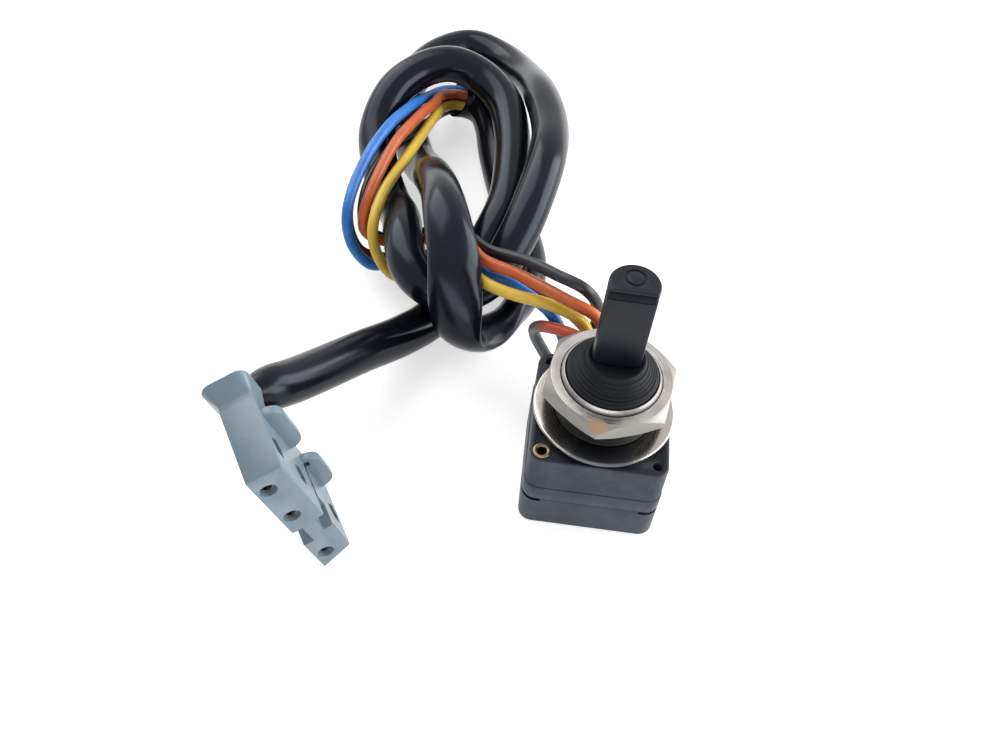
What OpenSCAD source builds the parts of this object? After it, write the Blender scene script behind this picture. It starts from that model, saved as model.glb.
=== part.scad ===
// Lever potentiometer with a sleeved lead and a three-pole connector.
// Millimetres, +Z up, origin at the bottom centre of the square housing.
// The lever tilts to and fro about a pin along X and turns a fork inside the housing.

/* [Housing] */
// Side of the square base cover
body_w = 28; // [24:0.5:36]
// Radius of the housing's vertical corners
corner_r = 3; // [2:0.25:4]
// Height of the base cover, up to the parting line
base_h = 8.7; // [8.7:0.1:10]
// Height of the proud rim above the parting line
rim_h = 3.9; // [3:0.1:5]
// How far the rim stands out from the wall above it
rim_step = 0.2; // [0.1:0.05:0.5]
// Height of the whole housing
body_h = 21.7; // [21:0.1:23]
// Wall thickness
wall = 2; // [1.5:0.1:2.4]
// Roof and floor thickness
deck = 2; // [1.5:0.1:2.2]
// Height of the dark gap at the corners of the parting line
part_gap = 0.7; // [0.4:0.1:1]
// Distance of the corner holes' centres from the housing's sides
corner_in = 2.6; // [2.4:0.1:3]
// Diameter of the plain corner holes
corner_hole_d = 2; // [1.6:0.1:2.4]

/* [Eyelet] */
// Outer diameter of the rolled flange
eyelet_flange_d = 3.5; // [3.2:0.1:4]
// Diameter of the hollow stem
eyelet_stem_d = 2.7; // [2.5:0.1:3]
// Diameter of the hole through the eyelet
eyelet_bore_d = 1.9; // [1.5:0.1:2.1]
// Thickness of the rolled flange
eyelet_flange_t = 0.35; // [0.25:0.05:0.5]

/* [Bushing] */
// Outer diameter of the threaded bushing
thread_d = 20; // [19:0.5:21]
// Distance of the flange's edge from the housing's sides
flange_in = 2; // [1:0.25:2.5]
// Thickness of the bushing's flange
flange_t = 1.2; // [0.8:0.1:1.2]
// Length of the threaded part above the flange
thread_l = 11.8; // [11.5:0.1:13]
// Diameter of the bushing's bore
bush_bore_d = 14.4; // [14:0.1:15]
// Diameter of the spigot in the roof of the housing
spigot_d = 17; // [16.5:0.1:18]

/* [Washer and nut] */
// How much wider the washer is than the housing
washer_over = 0.4; // [-2:0.2:0.4]
// Thickness of the washer
washer_t = 1; // [0.8:0.1:1.2]
// Thickness of the sealing ring under the washer's edge
seal_t = 0.8; // [0.6:0.05:1]
// Width of the sealing ring
seal_w = 1.5; // [1:0.1:1.6]
// Size of the nut across its flats
nut_af = 24; // [23:0.5:24]
// Thickness of the nut
nut_t = 3.8; // [3:0.1:4]
// Gap between washer and nut, for the panel
panel_gap = 6; // [5.6:0.1:6.4]
// How far the nut is turned
nut_turn = 20.9; // [0:0.1:60]

/* [Lever] */
// Diameter of the lever's round back
lever_d = 9.6; // [9:0.2:9.8]
// Distance of the flat front from the axis
lever_flat = 1.75; // [1.5:0.05:2.2]
// Height of the lever's top
lever_top = 59.8; // [56:0.2:70]
// Thickness of the cap
cap_t = 1.6; // [1.2:0.1:2]
// How far the cap overhangs the front
cap_over = 0.5; // [0.2:0.1:0.8]
// Outer diameter of the ring mark on the cap
ring_d = 4.1; // [3.5:0.1:4.5]
// Distance of the ring mark behind the axis
ring_back = 1.4; // [1:0.1:1.8]
// Diameter of the lever's metal core
core_d = 4; // [3.6:0.1:4.4]
// Distance of the core behind the axis, away from the flat
core_back = 1; // [0.8:0.1:1.4]

/* [Boot] */
// Diameter of the boot in the bushing's mouth
boot_d = 18; // [17.6:0.1:18.2]
// Height of the ringed folds above the bushing
boot_h = 4.9; // [4.5:0.1:5.4]
// Number of folds
folds = 4; // [3:1:5]

/* [Drive] */
// Height of the pivot pin
pivot_z = 27; // [26.8:0.1:27.2]
// Height of the rotor's axis
rotor_z = 7; // [6.8:0.1:7]
// Diameter of the pivot pin, drive finger and rotor shaft
pin_d = 3; // [2.8:0.05:3]
// Radial running clearance of the two pivots
run_gap = 0.06; // [0.03:0.01:0.08]
// Clearance on each side of the finger in its slot
slot_gap = 0.2; // [0.15:0.01:0.25]
// Most that the lever tilts each way
tilt_max = 15; // [10:1:15]

/* [Lead] */
// Diameter of the cable sleeve
sleeve_d = 9.2; // [8:0.1:9.4]
// Diameter of one insulated wire
wire_d = 2.6; // [2:0.1:2.7]

/* [Connector] */
// Thickness of the connector
con_t = 7; // [6.5:0.1:7.5]
// Height of the connector on its long side
con_h = 38.2; // [37:0.1:40]
// Depth of the connector from mating face to hood
con_l = 17; // [16:0.5:18]
// Height of the slanted lower end
con_slant = 3.2; // [2:0.1:4]
// Diameter of the contact bores
pole_d = 3.3; // [3:0.1:3.5]
// Distance of the first bore from the top
pole_top = 5; // [4.5:0.1:5.4]
// Distance between the first two bores
pole_pitch = 10.9; // [10.6:0.1:11.2]
// Distance between the second and the third bore
pole_far = 17.2; // [17:0.1:17.6]
// Distance of the bores from the long side
pole_in = 2.3; // [2.2:0.05:2.5]

/* [Hidden] */
$fn = 48;
eps = 0.01;
fit = 0.05;

cover_black = [0.07, 0.07, 0.075];
nickel = [0.78, 0.77, 0.74];
brass = [0.75, 0.62, 0.35];
steel = [0.6, 0.6, 0.62];
rubber_black = [0.05, 0.05, 0.055];
grey_blue = [0.55, 0.63, 0.69];
inner_grey = [0.3, 0.3, 0.33];

upper_w = body_w - 2 * rim_step;
cavity_w = upper_w - 2 * wall;
roof_z = body_h - deck;
corner_pitch = body_w / 2 - corner_in;
flange_d = body_w - 2 * flange_in;
washer_d = body_w + washer_over;
post_d = corner_hole_d + 3;
stem_hole_d = eyelet_stem_d + 2 * fit;

flange_top = body_h + flange_t;
washer_top = flange_top + washer_t;
nut_z = washer_top + panel_gap;
thread_end = flange_top + thread_l;
seal_z = flange_top - seal_t;
seal_id = flange_d + 2 * fit;
seal_od = seal_id + 2 * seal_w;

// boot seat in the bushing's mouth
seat_depth = 1.2;
seat_d = boot_d + 2 * fit;
boot_base_t = 0.5;
boot_top = thread_end + boot_h;
boot_gap = 0.3;
collar_h = 1.6;
collar_wall = 0.9;
fold_r = 0.45;

// lever
lever_r = lever_d / 2;
lever_z = thread_end + 0.5;
cap_z = lever_top - cap_t;
undercut_h = 1.5;
undercut = 0.6;
facet = 0.5;
core_z = lever_top - 8;

// drive: the finger sits half way between pivot and rotor axis
finger_z = (pivot_z + rotor_z) / 2;
hub_r = 3.5;
hub_half = 6;
arm_half = 2;
arm_w = 4.4;
arm_end = finger_z - pin_d / 2 - 0.5;
fork_x = arm_half + 0.6;
fork_t = 3.2;
fork_wall = 1.8;
slot_w = pin_d + 2 * slot_gap;
fork_top = finger_z + pin_d / 2 + 0.9;
rotor_left = -4;
rotor_right = fork_x + fork_t;
pivot_half = thread_d / 2 - 0.4;
shaft_half = cavity_w / 2 - 0.1;
rib_t = 2.4;
rib_w = 6;

// resistor board and wiper
board_t = 1;
board_gap = 0.3;
board_hole_gap = 0.4;
board_x = -(cavity_w / 2 - rib_t - board_t - board_gap);
board_half = 8.2;
board_top = rotor_z + 10.2;
track_t = 0.15;
track_r = 6.4;
collector_r = 8.6;
track_w = 1.4;
track_angle = tilt_max + 12;
wiper_t = 0.5;
wiper_w = 1.2;
wiper_gap = 0.05;
finger_t = 0.8;
terminal_d = 0.9;
terminal_l = 3;
terminal_out = 0.8;
terminal_pitch = 2.1;
terminal_y = 3.6;
terminal_z = 4;

// torsion spring round the rotor's shaft, with as many turns as fit before the board
spring_r = 2.4;
spring_wire = 0.6;
spring_pitch = 0.68;
spring_leg = 5.4;
spring_gap = 0.25;
spring_from = rotor_left - wiper_t - 0.7;
spring_to = board_x + spring_wire / 2 + spring_gap;
spring_turns = floor((spring_from - spring_to) / spring_pitch);

// wire gland in the rear wall
gland_half = 9.4;
gland_t = 2.4;

// connector's place and the seat of the sleeve behind its hood
con_place = [-50.8, -31.2, 0.4];
con_roll = -1;
con_tilt = -20;
con_yaw = 30;

// routes of the lead: hand-chosen points from the gland to the connector
sleeve_path = [
 [-42,110,6.5], [-38,110,6.3], [-34,107,6], [-31.5,101,5.5], [-29.5,92,5], [-25.5,78,5],
 [-21,65,5], [-18,54,5], [-18,45,5], [-21,37,5], [-26,30,6.5], [-30,25,9.5], [-32,22.5,15],
 [-33,25,22.5], [-34.5,31,29], [-37.5,41,31], [-40,52,27], [-43,64,20], [-45.5,75,11.5],
 [-49.4,86,5.6], [-53.4,98,4.9], [-56,110,5], [-54,122,5], [-49,131,5], [-41,136,5], [-32,131,6],
 [-25,119,10], [-20,102,17.5], [-17,85,22], [-17,70,25], [-19,57,23.5], [-22,47,19.5],
 [-26.5,39,14.7], [-33,33.5,14.5], [-39.5,33,16], [-44.5,37,17.5], [-47,45,17.5], [-49,54.5,14.4],
 [-53,65,10], [-57.5,77,9], [-60,88,11.3], [-57.5,98,16], [-51.5,105.5,18], [-44,109,18.5],
 [-36,108,16.5], [-29.5,101,15.3], [-26.5,91,15], [-25,78,15], [-25,65,14.5], [-28,54,12],
 [-32,44,8], [-38,34,5], [-44,25,7.5], [-51,14.5,13], [-57,5,18], [-62,-3,22.5], [-67,-10,27]
];
yellow_path = [
 [-1,14,7], [-1,17.5,7], [-2,21,10.5], [-3,22,17], [-6,23.5,22], [-13,25,24], [-21,26.5,24],
 [-27,28.9,23.8], [-32.5,34.8,22.1], [-37,39.5,17.5], [-41,43,11], [-44,44.5,6.5], [-49,44.5,5.5],
 [-53,45.5,10.5], [-54.5,48,17], [-53.5,58,19], [-50.5,72,17.5], [-48,86.5,14], [-46.2,96,12],
 [-45.5,103,8.5], [-42.9,107.2,6.8]
];
blue_path = [
 [-4.5,14,7], [-4.5,17.5,7], [-5.5,21,10], [-8.5,22.5,16], [-12.5,26,20.5], [-21,30.5,22.5],
 [-27.5,33.2,21.9], [-32.5,39,21.5], [-37,43,18], [-41,46.5,12], [-45,48,7.5], [-50,48.5,5.5],
 [-55,47,5.5], [-59.5,47.5,11.5], [-61,52,18], [-59.5,65,20.5], [-56,79,20.5], [-52,93,16.5],
 [-49,105,10.5], [-46,110.5,8.5], [-42.6,112.1,8]
];
orange_path = [
 [2.5,14,7], [2.5,17.5,7], [2,20.5,12], [0.5,20.5,20], [-3,21,26.5], [-10,23.5,28],
 [-20,30,26.5], [-28,34,25.5], [-32.5,40,24.5], [-36.5,45.5,21.5], [-40,50.5,15], [-44.5,52,10],
 [-50,52.5,8.3], [-55,51.5,10], [-57.3,51,14.5], [-56.5,58,19], [-53.5,73,20.5], [-50,87,17.5],
 [-47,98,14], [-46,105,11], [-42.9,109.2,8.9]
];
black_path = [
 [-3,14,3.5], [-3,19,3.5], [-3,23,6.5], [-2.5,25,15], [-2.5,25.5,24], [-6,24.5,30.5],
 [-12,27.5,30.5], [-19,33,28], [-27,37.5,25], [-31.5,43,22.5], [-35.5,49,18.5], [-40,55,12],
 [-46,56.5,7.5], [-52,56.5,5], [-57.5,55.5,9], [-58.5,59.5,14.5], [-57,69.5,16], [-53,82,14.5],
 [-48,95,9.8], [-46.4,105,4.8], [-42.9,109.2,4.1]
];
red_path = [
 [1,14,3.5], [1,19,3.5], [1,24,7], [-3,28.5,12.5], [-11,32,17.5], [-20,34.5,20.5],
 [-26.3,36.4,22.1], [-31.3,40.9,19.3], [-36,44,14], [-40,46.5,8.5], [-45,50.5,4], [-51,52,3],
 [-58,51.5,5], [-61.5,54.5,11], [-61.5,62,15.5], [-59,74,17], [-55.8,85,16.6], [-50.8,96,11.7],
 [-47.8,105,7.8], [-46,110.5,5.2], [-42.6,112.1,5]
];
link_path = [
 [6,14,7], [6,16.5,7], [5.5,17.2,11], [3,17.2,17], [-2,17.5,21], [-8,19.5,22],
 [-14,23,19], [-15,25,14], [-11,22.5,8.5], [-7.8,18,7], [-7.8,14,7]
];

// Directions and sweep of a tube along points
function unit(v) = v / norm(v);
function tangent(p, i) = let(n = len(p) - 1)
    i == 0 ? unit(p[1] - p[0]) : i == n ? unit(p[n] - p[n - 1]) : unit(p[i + 1] - p[i - 1]);
function side_step(s, t) = unit(s - (s * t) * t);
function first_side(t) = side_step(abs(t[2]) < 0.8 ? [0, 0, 1] : [1, 0, 0], t);
function sides_of(p) = [for (i = 0, s = first_side(tangent(p, 0)); i < len(p);
    i = i + 1, s = i < len(p) ? side_step(s, tangent(p, i)) : s) s];

module tube(p, d, sides) {
    n = len(p);
    a = sides_of(p);
    rings = [for (i = [0:n - 1]) let(t = tangent(p, i), b = cross(t, a[i]))
        for (k = [0:sides - 1]) let(w = 360 * k / sides)
            p[i] + d / 2 * (cos(w) * a[i] + sin(w) * b)];
    walls = [for (i = [0:n - 2]) for (k = [0:sides - 1]) for (half = [0, 1])
        let(q = i * sides, m = (k + 1) % sides)
            half == 0 ? [q + k, q + sides + k, q + m] : [q + m, q + sides + k, q + sides + m]];
    polyhedron(concat(rings), concat([[for (k = [0:sides - 1]) k]], walls,
        [[for (k = [sides - 1:-1:0]) (n - 1) * sides + k]]));
}

// Rounded square block made of boxes and cylinders
module rounded_block(w, h, r) {
    translate([-w / 2 + r, -w / 2, 0]) cube([w - 2 * r, w, h]);
    translate([-w / 2, -w / 2 + r, 0]) cube([w, w - 2 * r, h]);
    for (x = [-1, 1], y = [-1, 1])
        translate([x * (w / 2 - r), y * (w / 2 - r), 0]) cylinder(r = r, h = h);
}

module ring(od, id, h) {
    difference() {
        cylinder(d = od, h = h);
        translate([0, 0, -1]) cylinder(d = id, h = h + 2);
    }
}

module along_x(x0, x1, d) {
    translate([x0, 0, 0]) rotate([0, 90, 0]) cylinder(d = d, h = x1 - x0);
}

module at_corners() {
    for (x = [-1, 1], y = [-1, 1]) translate([x * corner_pitch, y * corner_pitch, 0]) children();
}

// D outline of the lever: round back, flat front with a narrow facet at each edge
module d_outline(r, flat) {
    difference() {
        circle(r = r);
        translate([-r - 1, -r - 1]) square([2 * r + 2, r + 1 - flat]);
        for (s = [-1, 1])
            translate([s * sqrt(r * r - flat * flat), -flat]) rotate(45)
                square(2 * facet, center = true);
    }
}

// Corner holes: the front left one takes the eyelet's stem
module corner_holes(z0, z1) {
    at_corners() translate([0, 0, z0]) cylinder(d = corner_hole_d, h = z1 - z0);
    translate([-corner_pitch, -corner_pitch, z0]) cylinder(d = stem_hole_d, h = z1 - z0);
}

module shell(w, h, z, open_up) {
    difference() {
        translate([0, 0, z]) rounded_block(w, h, corner_r);
        difference() {
            translate([0, 0, open_up ? z + deck : z - 1])
                rounded_block(cavity_w, h - deck + 1, corner_r - 1);
            at_corners() translate([0, 0, z - 2]) cylinder(d = post_d, h = h + 4);
        }
    }
}

module base_cover() color(cover_black) difference() {
    union() {
        shell(body_w, base_h, 0, true);
        // bearing ribs that carry the rotor's shaft
        for (s = [-1, 1])
            translate([s > 0 ? cavity_w / 2 - rib_t : -cavity_w / 2 - fit, -rib_w / 2, deck - fit])
                cube([rib_t + fit, rib_w, base_h - deck - fit]);
    }
    translate([0, 0, rotor_z]) along_x(-shaft_half, shaft_half, pin_d);
    corner_holes(-1, base_h + 1);
    translate([-corner_pitch, -corner_pitch, -1])
        cylinder(d = eyelet_flange_d + 4 * fit, h = 1 + eyelet_flange_t + fit);
    // dark gaps at the rounded corners of the parting line
    for (x = [-1, 1], y = [-1, 1])
        translate([x * body_w / 2, y * body_w / 2, base_h - part_gap / 2 + 1])
            cube([2 * corner_r + 2, 2 * corner_r + 2, part_gap + 2], center = true);
    // window of the wire gland
    translate([-gland_half, cavity_w / 2 - 1, deck])
        cube([2 * gland_half, wall + 3, base_h]);
}

module upper_housing() color(cover_black) difference() {
    union() {
        shell(upper_w, body_h - base_h, base_h, false);
        difference() {
            translate([0, 0, base_h]) rounded_block(body_w, rim_h, corner_r);
            translate([0, 0, base_h - 1]) rounded_block(upper_w - 1, rim_h + 2, corner_r - 0.5);
        }
    }
    translate([0, 0, roof_z - 1]) cylinder(d = spigot_d + 2 * fit, h = deck + 2);
    corner_holes(base_h - 1, body_h + 1);
}

module eyelet() color(brass) translate([-corner_pitch, -corner_pitch, 0]) difference() {
    union() {
        translate([0, 0, fit]) cylinder(d = eyelet_stem_d, h = body_h - fit);
        translate([0, 0, fit]) cylinder(d = eyelet_flange_d, h = eyelet_flange_t - fit);
        translate([0, 0, body_h]) cylinder(d = eyelet_flange_d, h = eyelet_flange_t);
    }
    translate([0, 0, -1]) cylinder(d = eyelet_bore_d, h = body_h + 3);
}

module bushing() color(nickel) difference() {
    union() {
        translate([0, 0, roof_z]) cylinder(d = spigot_d, h = deck + eps);
        translate([0, 0, body_h]) cylinder(d = flange_d, h = flange_t);
        translate([0, 0, body_h]) cylinder(d = thread_d, h = thread_end - body_h - 0.4);
        translate([0, 0, thread_end - 0.4]) cylinder(d1 = thread_d, d2 = thread_d - 0.6, h = 0.4);
    }
    translate([0, 0, roof_z - 1]) cylinder(d = bush_bore_d, h = body_h + thread_l);
    translate([0, 0, thread_end - seat_depth]) cylinder(d = seat_d, h = seat_depth + 1);
    translate([0, 0, pivot_z]) along_x(-pivot_half, pivot_half, pin_d);
}

module sealing_ring() color(rubber_black) translate([0, 0, seal_z])
    ring(seal_od, seal_id, seal_t);

module washer() color(nickel) translate([0, 0, flange_top])
    ring(washer_d, thread_d + 2 * fit, washer_t);

module hex_nut() color(nickel) translate([0, 0, nut_z]) rotate(nut_turn) difference() {
    intersection() {
        cylinder(d = nut_af / cos(30), h = nut_t, $fn = 6);
        // turned chamfer at the top and the bottom
        union() {
            cylinder(d1 = nut_af - 0.4, d2 = nut_af + 4.2, h = nut_t / 2 - 0.3);
            translate([0, 0, nut_t / 2 - 0.3 - eps]) cylinder(d = nut_af + 4.2, h = 0.6 + 2 * eps);
            translate([0, 0, nut_t / 2 + 0.3]) cylinder(d1 = nut_af + 4.2, d2 = nut_af - 0.4,
                h = nut_t / 2 - 0.3);
        }
    }
    translate([0, 0, -1]) cylinder(d = thread_d + 2 * fit, h = nut_t + 2);
}

// Ringed collar that closes the bushing's mouth and hugs the lever
module rubber_boot() color(rubber_black) {
    base_r = boot_d / 2 - 0.6;
    top_r = lever_r + boot_gap + collar_wall;
    seat_z = thread_end - seat_depth + fit;
    difference() {
        union() {
            translate([0, 0, seat_z]) cylinder(d = boot_d, h = seat_depth + boot_base_t - fit);
            translate([0, 0, thread_end + boot_base_t - eps])
                cylinder(r1 = base_r, r2 = top_r, h = boot_h - boot_base_t + eps);
            for (i = [0:folds - 1]) {
                f = (i + 0.7) / folds;
                translate([0, 0, thread_end + boot_base_t + f * (boot_h - boot_base_t) - fold_r])
                    rotate_extrude() translate([base_r + f * (top_r - base_r) - fold_r, fold_r])
                        circle(r = fold_r, $fn = 24);
            }
        }
        translate([0, 0, seat_z - 1]) cylinder(d = bush_bore_d, h = seat_depth + 1 + boot_base_t);
        translate([0, 0, seat_z + seat_depth + boot_base_t - eps])
            cylinder(d1 = bush_bore_d, d2 = 2 * (lever_r + boot_gap),
                h = boot_h - boot_base_t - collar_h + eps);
        translate([0, 0, boot_top - collar_h - 1]) linear_extrude(collar_h + 3)
            difference() {
                circle(r = lever_r + boot_gap);
                translate([-lever_d, -lever_d - lever_flat - boot_gap]) square([2 * lever_d, lever_d]);
            }
    }
}

module pivot_pin() color(steel) translate([0, 0, pivot_z]) along_x(-pivot_half, pivot_half, pin_d);

module lever() color(cover_black) difference() {
    union() {
        translate([0, 0, lever_z]) linear_extrude(cap_z - undercut_h - lever_z)
            d_outline(lever_r, lever_flat);
        translate([0, 0, cap_z - undercut_h - eps]) linear_extrude(undercut_h + eps)
            d_outline(lever_r - 0.2, lever_flat - undercut);
    }
    translate([0, core_back, lever_z - 1]) cylinder(d = core_d, h = core_z - lever_z + 1);
}

module lever_cap() color(cover_black) translate([0, 0, cap_z]) difference() {
    linear_extrude(cap_t) d_outline(lever_r, lever_flat + cap_over);
    translate([0, ring_back, cap_t - 0.2]) ring(ring_d, ring_d - 0.6, 1);
}

// Metal core, hub on the pivot pin and finger that drives the fork
module lever_stem() color(steel) difference() {
    union() {
        translate([0, core_back, pivot_z]) cylinder(d = core_d, h = core_z - pivot_z);
        translate([0, 0, pivot_z]) along_x(-hub_half, hub_half, 2 * hub_r);
        translate([-arm_half, -arm_w / 2, arm_end]) cube([2 * arm_half, arm_w, pivot_z - arm_end]);
        translate([0, 0, finger_z]) along_x(-arm_half, fork_x + fork_t, pin_d);
    }
    translate([0, 0, pivot_z]) along_x(-hub_half - 1, hub_half + 1, pin_d + 2 * run_gap);
}

module rotor_shaft() color(steel) translate([0, 0, rotor_z])
    along_x(-shaft_half, shaft_half, pin_d);

module rotor() color(inner_grey) difference() {
    union() {
        translate([0, 0, rotor_z]) along_x(rotor_left, rotor_right, 2 * hub_r);
        translate([fork_x, -slot_w / 2 - fork_wall, rotor_z])
            cube([fork_t, slot_w + 2 * fork_wall, fork_top - rotor_z]);
        // plate that carries the wiper
        translate([rotor_left, -wiper_w, rotor_z])
            cube([1.2, 2 * wiper_w, collector_r + wiper_w]);
    }
    translate([fork_x - 1, -slot_w / 2, rotor_z + hub_r + 0.8])
        cube([fork_t + 2, slot_w, fork_top]);
    translate([0, 0, rotor_z]) along_x(rotor_left - 1, rotor_right + 1, pin_d + 2 * run_gap);
}

module wiper() color(brass) {
    contact_x = board_x + track_t + wiper_gap;
    translate([rotor_left - wiper_t, -wiper_w / 2, rotor_z + track_r - 1.2])
        cube([wiper_t, wiper_w, collector_r - track_r + 2]);
    for (r = [track_r, collector_r])
        translate([contact_x, -wiper_w / 2, rotor_z + r - finger_t / 2])
            cube([rotor_left - contact_x, wiper_w, finger_t]);
}

module resistor_board() color([0.2, 0.35, 0.2]) difference() {
    translate([board_x - board_t, -board_half, deck]) cube([board_t, 2 * board_half, board_top - deck]);
    translate([0, 0, rotor_z])
        along_x(board_x - 2 * board_t, board_x + board_t, pin_d + 2 * board_hole_gap);
    for (k = [0:2])
        translate([0, terminal_y + k * terminal_pitch, terminal_z])
            along_x(board_x - 2 * board_t, board_x + board_t, terminal_d);
}

module resistor_track() color([0.1, 0.1, 0.1]) for (r = [track_r, collector_r])
    translate([board_x, 0, rotor_z]) rotate([0, 90, 0]) rotate(180 - track_angle)
        rotate_extrude(angle = 2 * track_angle) translate([r - track_w / 2, 0])
            square([track_w, track_t]);

module terminals() color(nickel) for (k = [0:2])
    translate([0, terminal_y + k * terminal_pitch, terminal_z])
        along_x(board_x - board_t - terminal_out,
            board_x - board_t - terminal_out + terminal_l, terminal_d);

// Torsion spring: turns round the shaft, two legs up to the fork
module return_spring() color(steel) {
    x0 = spring_from;
    steps = 12;
    coil = [for (i = [0:spring_turns * steps]) let(w = 360 * i / steps)
        [x0 - spring_pitch * i / steps, spring_r * cos(w), rotor_z + spring_r * sin(w)]];
    last = len(coil) - 1;
    tube(concat([[x0, spring_r, rotor_z - 3], [x0, spring_r, rotor_z - 1]], coil,
        [[coil[last][0], spring_r, rotor_z + 1.5],
         [coil[last][0], spring_r, rotor_z + spring_leg]]), spring_wire, 6);
}

module wire_gland() color(rubber_black)
    translate([-gland_half + fit, body_w / 2 - gland_t, deck + fit])
        cube([2 * gland_half - 2 * fit, gland_t, base_h - deck - 2 * fit]);

module yellow_wire() color([0.9, 0.8, 0.35]) tube(yellow_path, wire_d, 8);

module blue_wire() color([0.25, 0.5, 0.85]) tube(blue_path, wire_d, 8);

module orange_wire() color([0.85, 0.45, 0.2]) tube(orange_path, wire_d, 8);

module black_wire() color([0.06, 0.06, 0.07]) tube(black_path, wire_d, 8);

module red_wire() color([0.45, 0.08, 0.08]) tube(red_path, wire_d, 8);

module link_wire() color([0.8, 0.35, 0.25]) tube(link_path, wire_d, 8);

module cable_sleeve() color(rubber_black) tube(sleeve_path, sleeve_d, 12);

// Connector in its own frame: x thickness, y depth, z height
module con_frame() translate(con_place) rotate([con_roll, con_tilt, con_yaw]) children();

poles_z = [con_h - pole_top, con_h - pole_top - pole_pitch, con_h - pole_top - pole_pitch - pole_far];
bore_l = 14;
socket_in = 1;
socket_deep = 10;
socket_bore_d = 1.9;
socket_slot = 0.4;
socket_slit = 4;
key_low = 13;
key_w = 4.8;
key_depth = 2;
key_end = 3;
notch_low = 11;
notch_h = 6;
notch_depth = 2.2;
window_y = 4.3;
window_w = 4.2;
window_rise = 4.6;
ear_t = 1.8;
ear_y = con_l - 4.8;
ear_out = 3.2;
ear_r = 2.8;
neck_l = 1.6;
hood_t = 1.4;
hood_low = con_h - 7.7;
hood_h = 9.8;
hood_w = con_t + 2.4;
hood_r = 2.4;
lip_t = 1;
lip_out = 0.6;
seat_l = 5.8;

module poles() {
    for (z = poles_z) translate([pole_in, 0, z]) rotate([-90, 0, 0]) children();
}

// Lug with rounded corners beside the contact face
module ear(low, high, y) {
    translate([con_t - 1, y + ear_t, 0]) rotate([90, 0, 0]) linear_extrude(ear_t) {
        translate([0, low]) square([1 + ear_out - ear_r, high - low]);
        translate([0, low + ear_r]) square([1 + ear_out, high - low - 2 * ear_r]);
        for (z = [low + ear_r, high - ear_r]) translate([1 + ear_out - ear_r, z]) circle(r = ear_r);
    }
}

module connector_body() color(grey_blue) con_frame() difference() {
    union() {
        translate([0, con_l, 0]) rotate([90, 0, 0]) linear_extrude(con_l)
            polygon([[0, 0], [con_t, con_slant], [con_t, con_h], [0, con_h]]);
        ear(con_h - 16, con_h - 1.2, ear_y);
        ear(7.5, 18.5, ear_y);
    }
    poles() translate([0, 0, -1]) cylinder(d = pole_d, h = 1 + bore_l);
    // keyway along the contact face, wider pocket at its mouth
    translate([con_t - key_depth, -1, key_low]) cube([key_depth + 1, 1 + 5, key_w]);
    translate([con_t - key_depth, -1, key_low + key_w - 1.4]) cube([key_depth + 1, con_l - key_end, 1.4]);
    translate([-1, -1, notch_low]) cube([1 + notch_depth, con_l + 2, notch_h]);
    // slanted windows that show the contacts
    for (z = poles_z) translate([con_t - key_depth - 0.4, 0, 0]) rotate([90, 0, 90])
        linear_extrude(key_depth + 2) polygon([[window_y, z + 0.2], [window_y + 0.2, z + 3],
            [window_y + 3, z + window_rise - 0.6], [window_y + window_w, z + 0.9],
            [window_y + window_w - 1.8, z - 0.4]]);
}

// Rounded plate across the connector's rear
module hood_plate(y, t, grow) {
    w = hood_w + 2 * grow;
    h = hood_h + 2 * grow;
    r = hood_r + grow;
    translate([(con_t - w) / 2, y + t, hood_low - grow]) rotate([90, 0, 0]) linear_extrude(t) {
        translate([r, 0]) square([w - 2 * r, h]);
        translate([0, r]) square([w, h - 2 * r]);
        for (x = [r, w - r], z = [r, h - r]) translate([x, z]) circle(r = r);
    }
}

// Boss under the end of the sleeve, square to its last stretch
module sleeve_seat() {
    n = len(sleeve_path) - 1;
    q = sleeve_path[n];
    t = unit(q - sleeve_path[n - 1]);
    translate(q) rotate([0, acos(t[2]), atan2(t[1], t[0])]) cylinder(d = sleeve_d - 1.4, h = seat_l);
}

module connector_hood() color(grey_blue) {
    con_frame() {
        translate([0.3, con_l, hood_low + 1.5]) cube([con_t - 0.6, neck_l + 0.5, con_h - hood_low - 1.8]);
        hood_plate(con_l + neck_l, hood_t, 0);
        hood_plate(con_l + neck_l + hood_t - eps, lip_t, lip_out);
    }
    sleeve_seat();
}

// Contact sockets: slotted tubes in the bores
module socket_contacts() color(steel) con_frame() poles() difference() {
    translate([0, 0, socket_in]) cylinder(d = pole_d - 2 * fit, h = bore_l - socket_in);
    cylinder(d = socket_bore_d, h = socket_in + socket_deep);
    for (w = [0, 90]) rotate(w) translate([-pole_d, -socket_slot / 2, 0])
        cube([2 * pole_d, socket_slot, socket_in + socket_slit]);
}

base_cover();
upper_housing();
eyelet();
bushing();
sealing_ring();
washer();
hex_nut();
rubber_boot();
pivot_pin();
lever();
lever_cap();
lever_stem();
rotor_shaft();
rotor();
wiper();
resistor_board();
resistor_track();
terminals();
return_spring();
wire_gland();
yellow_wire();
blue_wire();
orange_wire();
black_wire();
red_wire();
link_wire();
cable_sleeve();
connector_body();
connector_hood();
socket_contacts();
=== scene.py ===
"""Lever potentiometer with a sleeved lead and its connector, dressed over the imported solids.

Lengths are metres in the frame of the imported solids, unless a text says millimetres. Each sub-assembly is a
class: its fields are its finishes and sizes, and its methods model the pieces and dress them.
"""
import sys
import logging
import math
from dataclasses import dataclass, field
from enum import Enum
from functools import partial
from typing import Callable, Sequence

import bmesh
import bpy
from mathutils import Matrix, Vector


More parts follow.
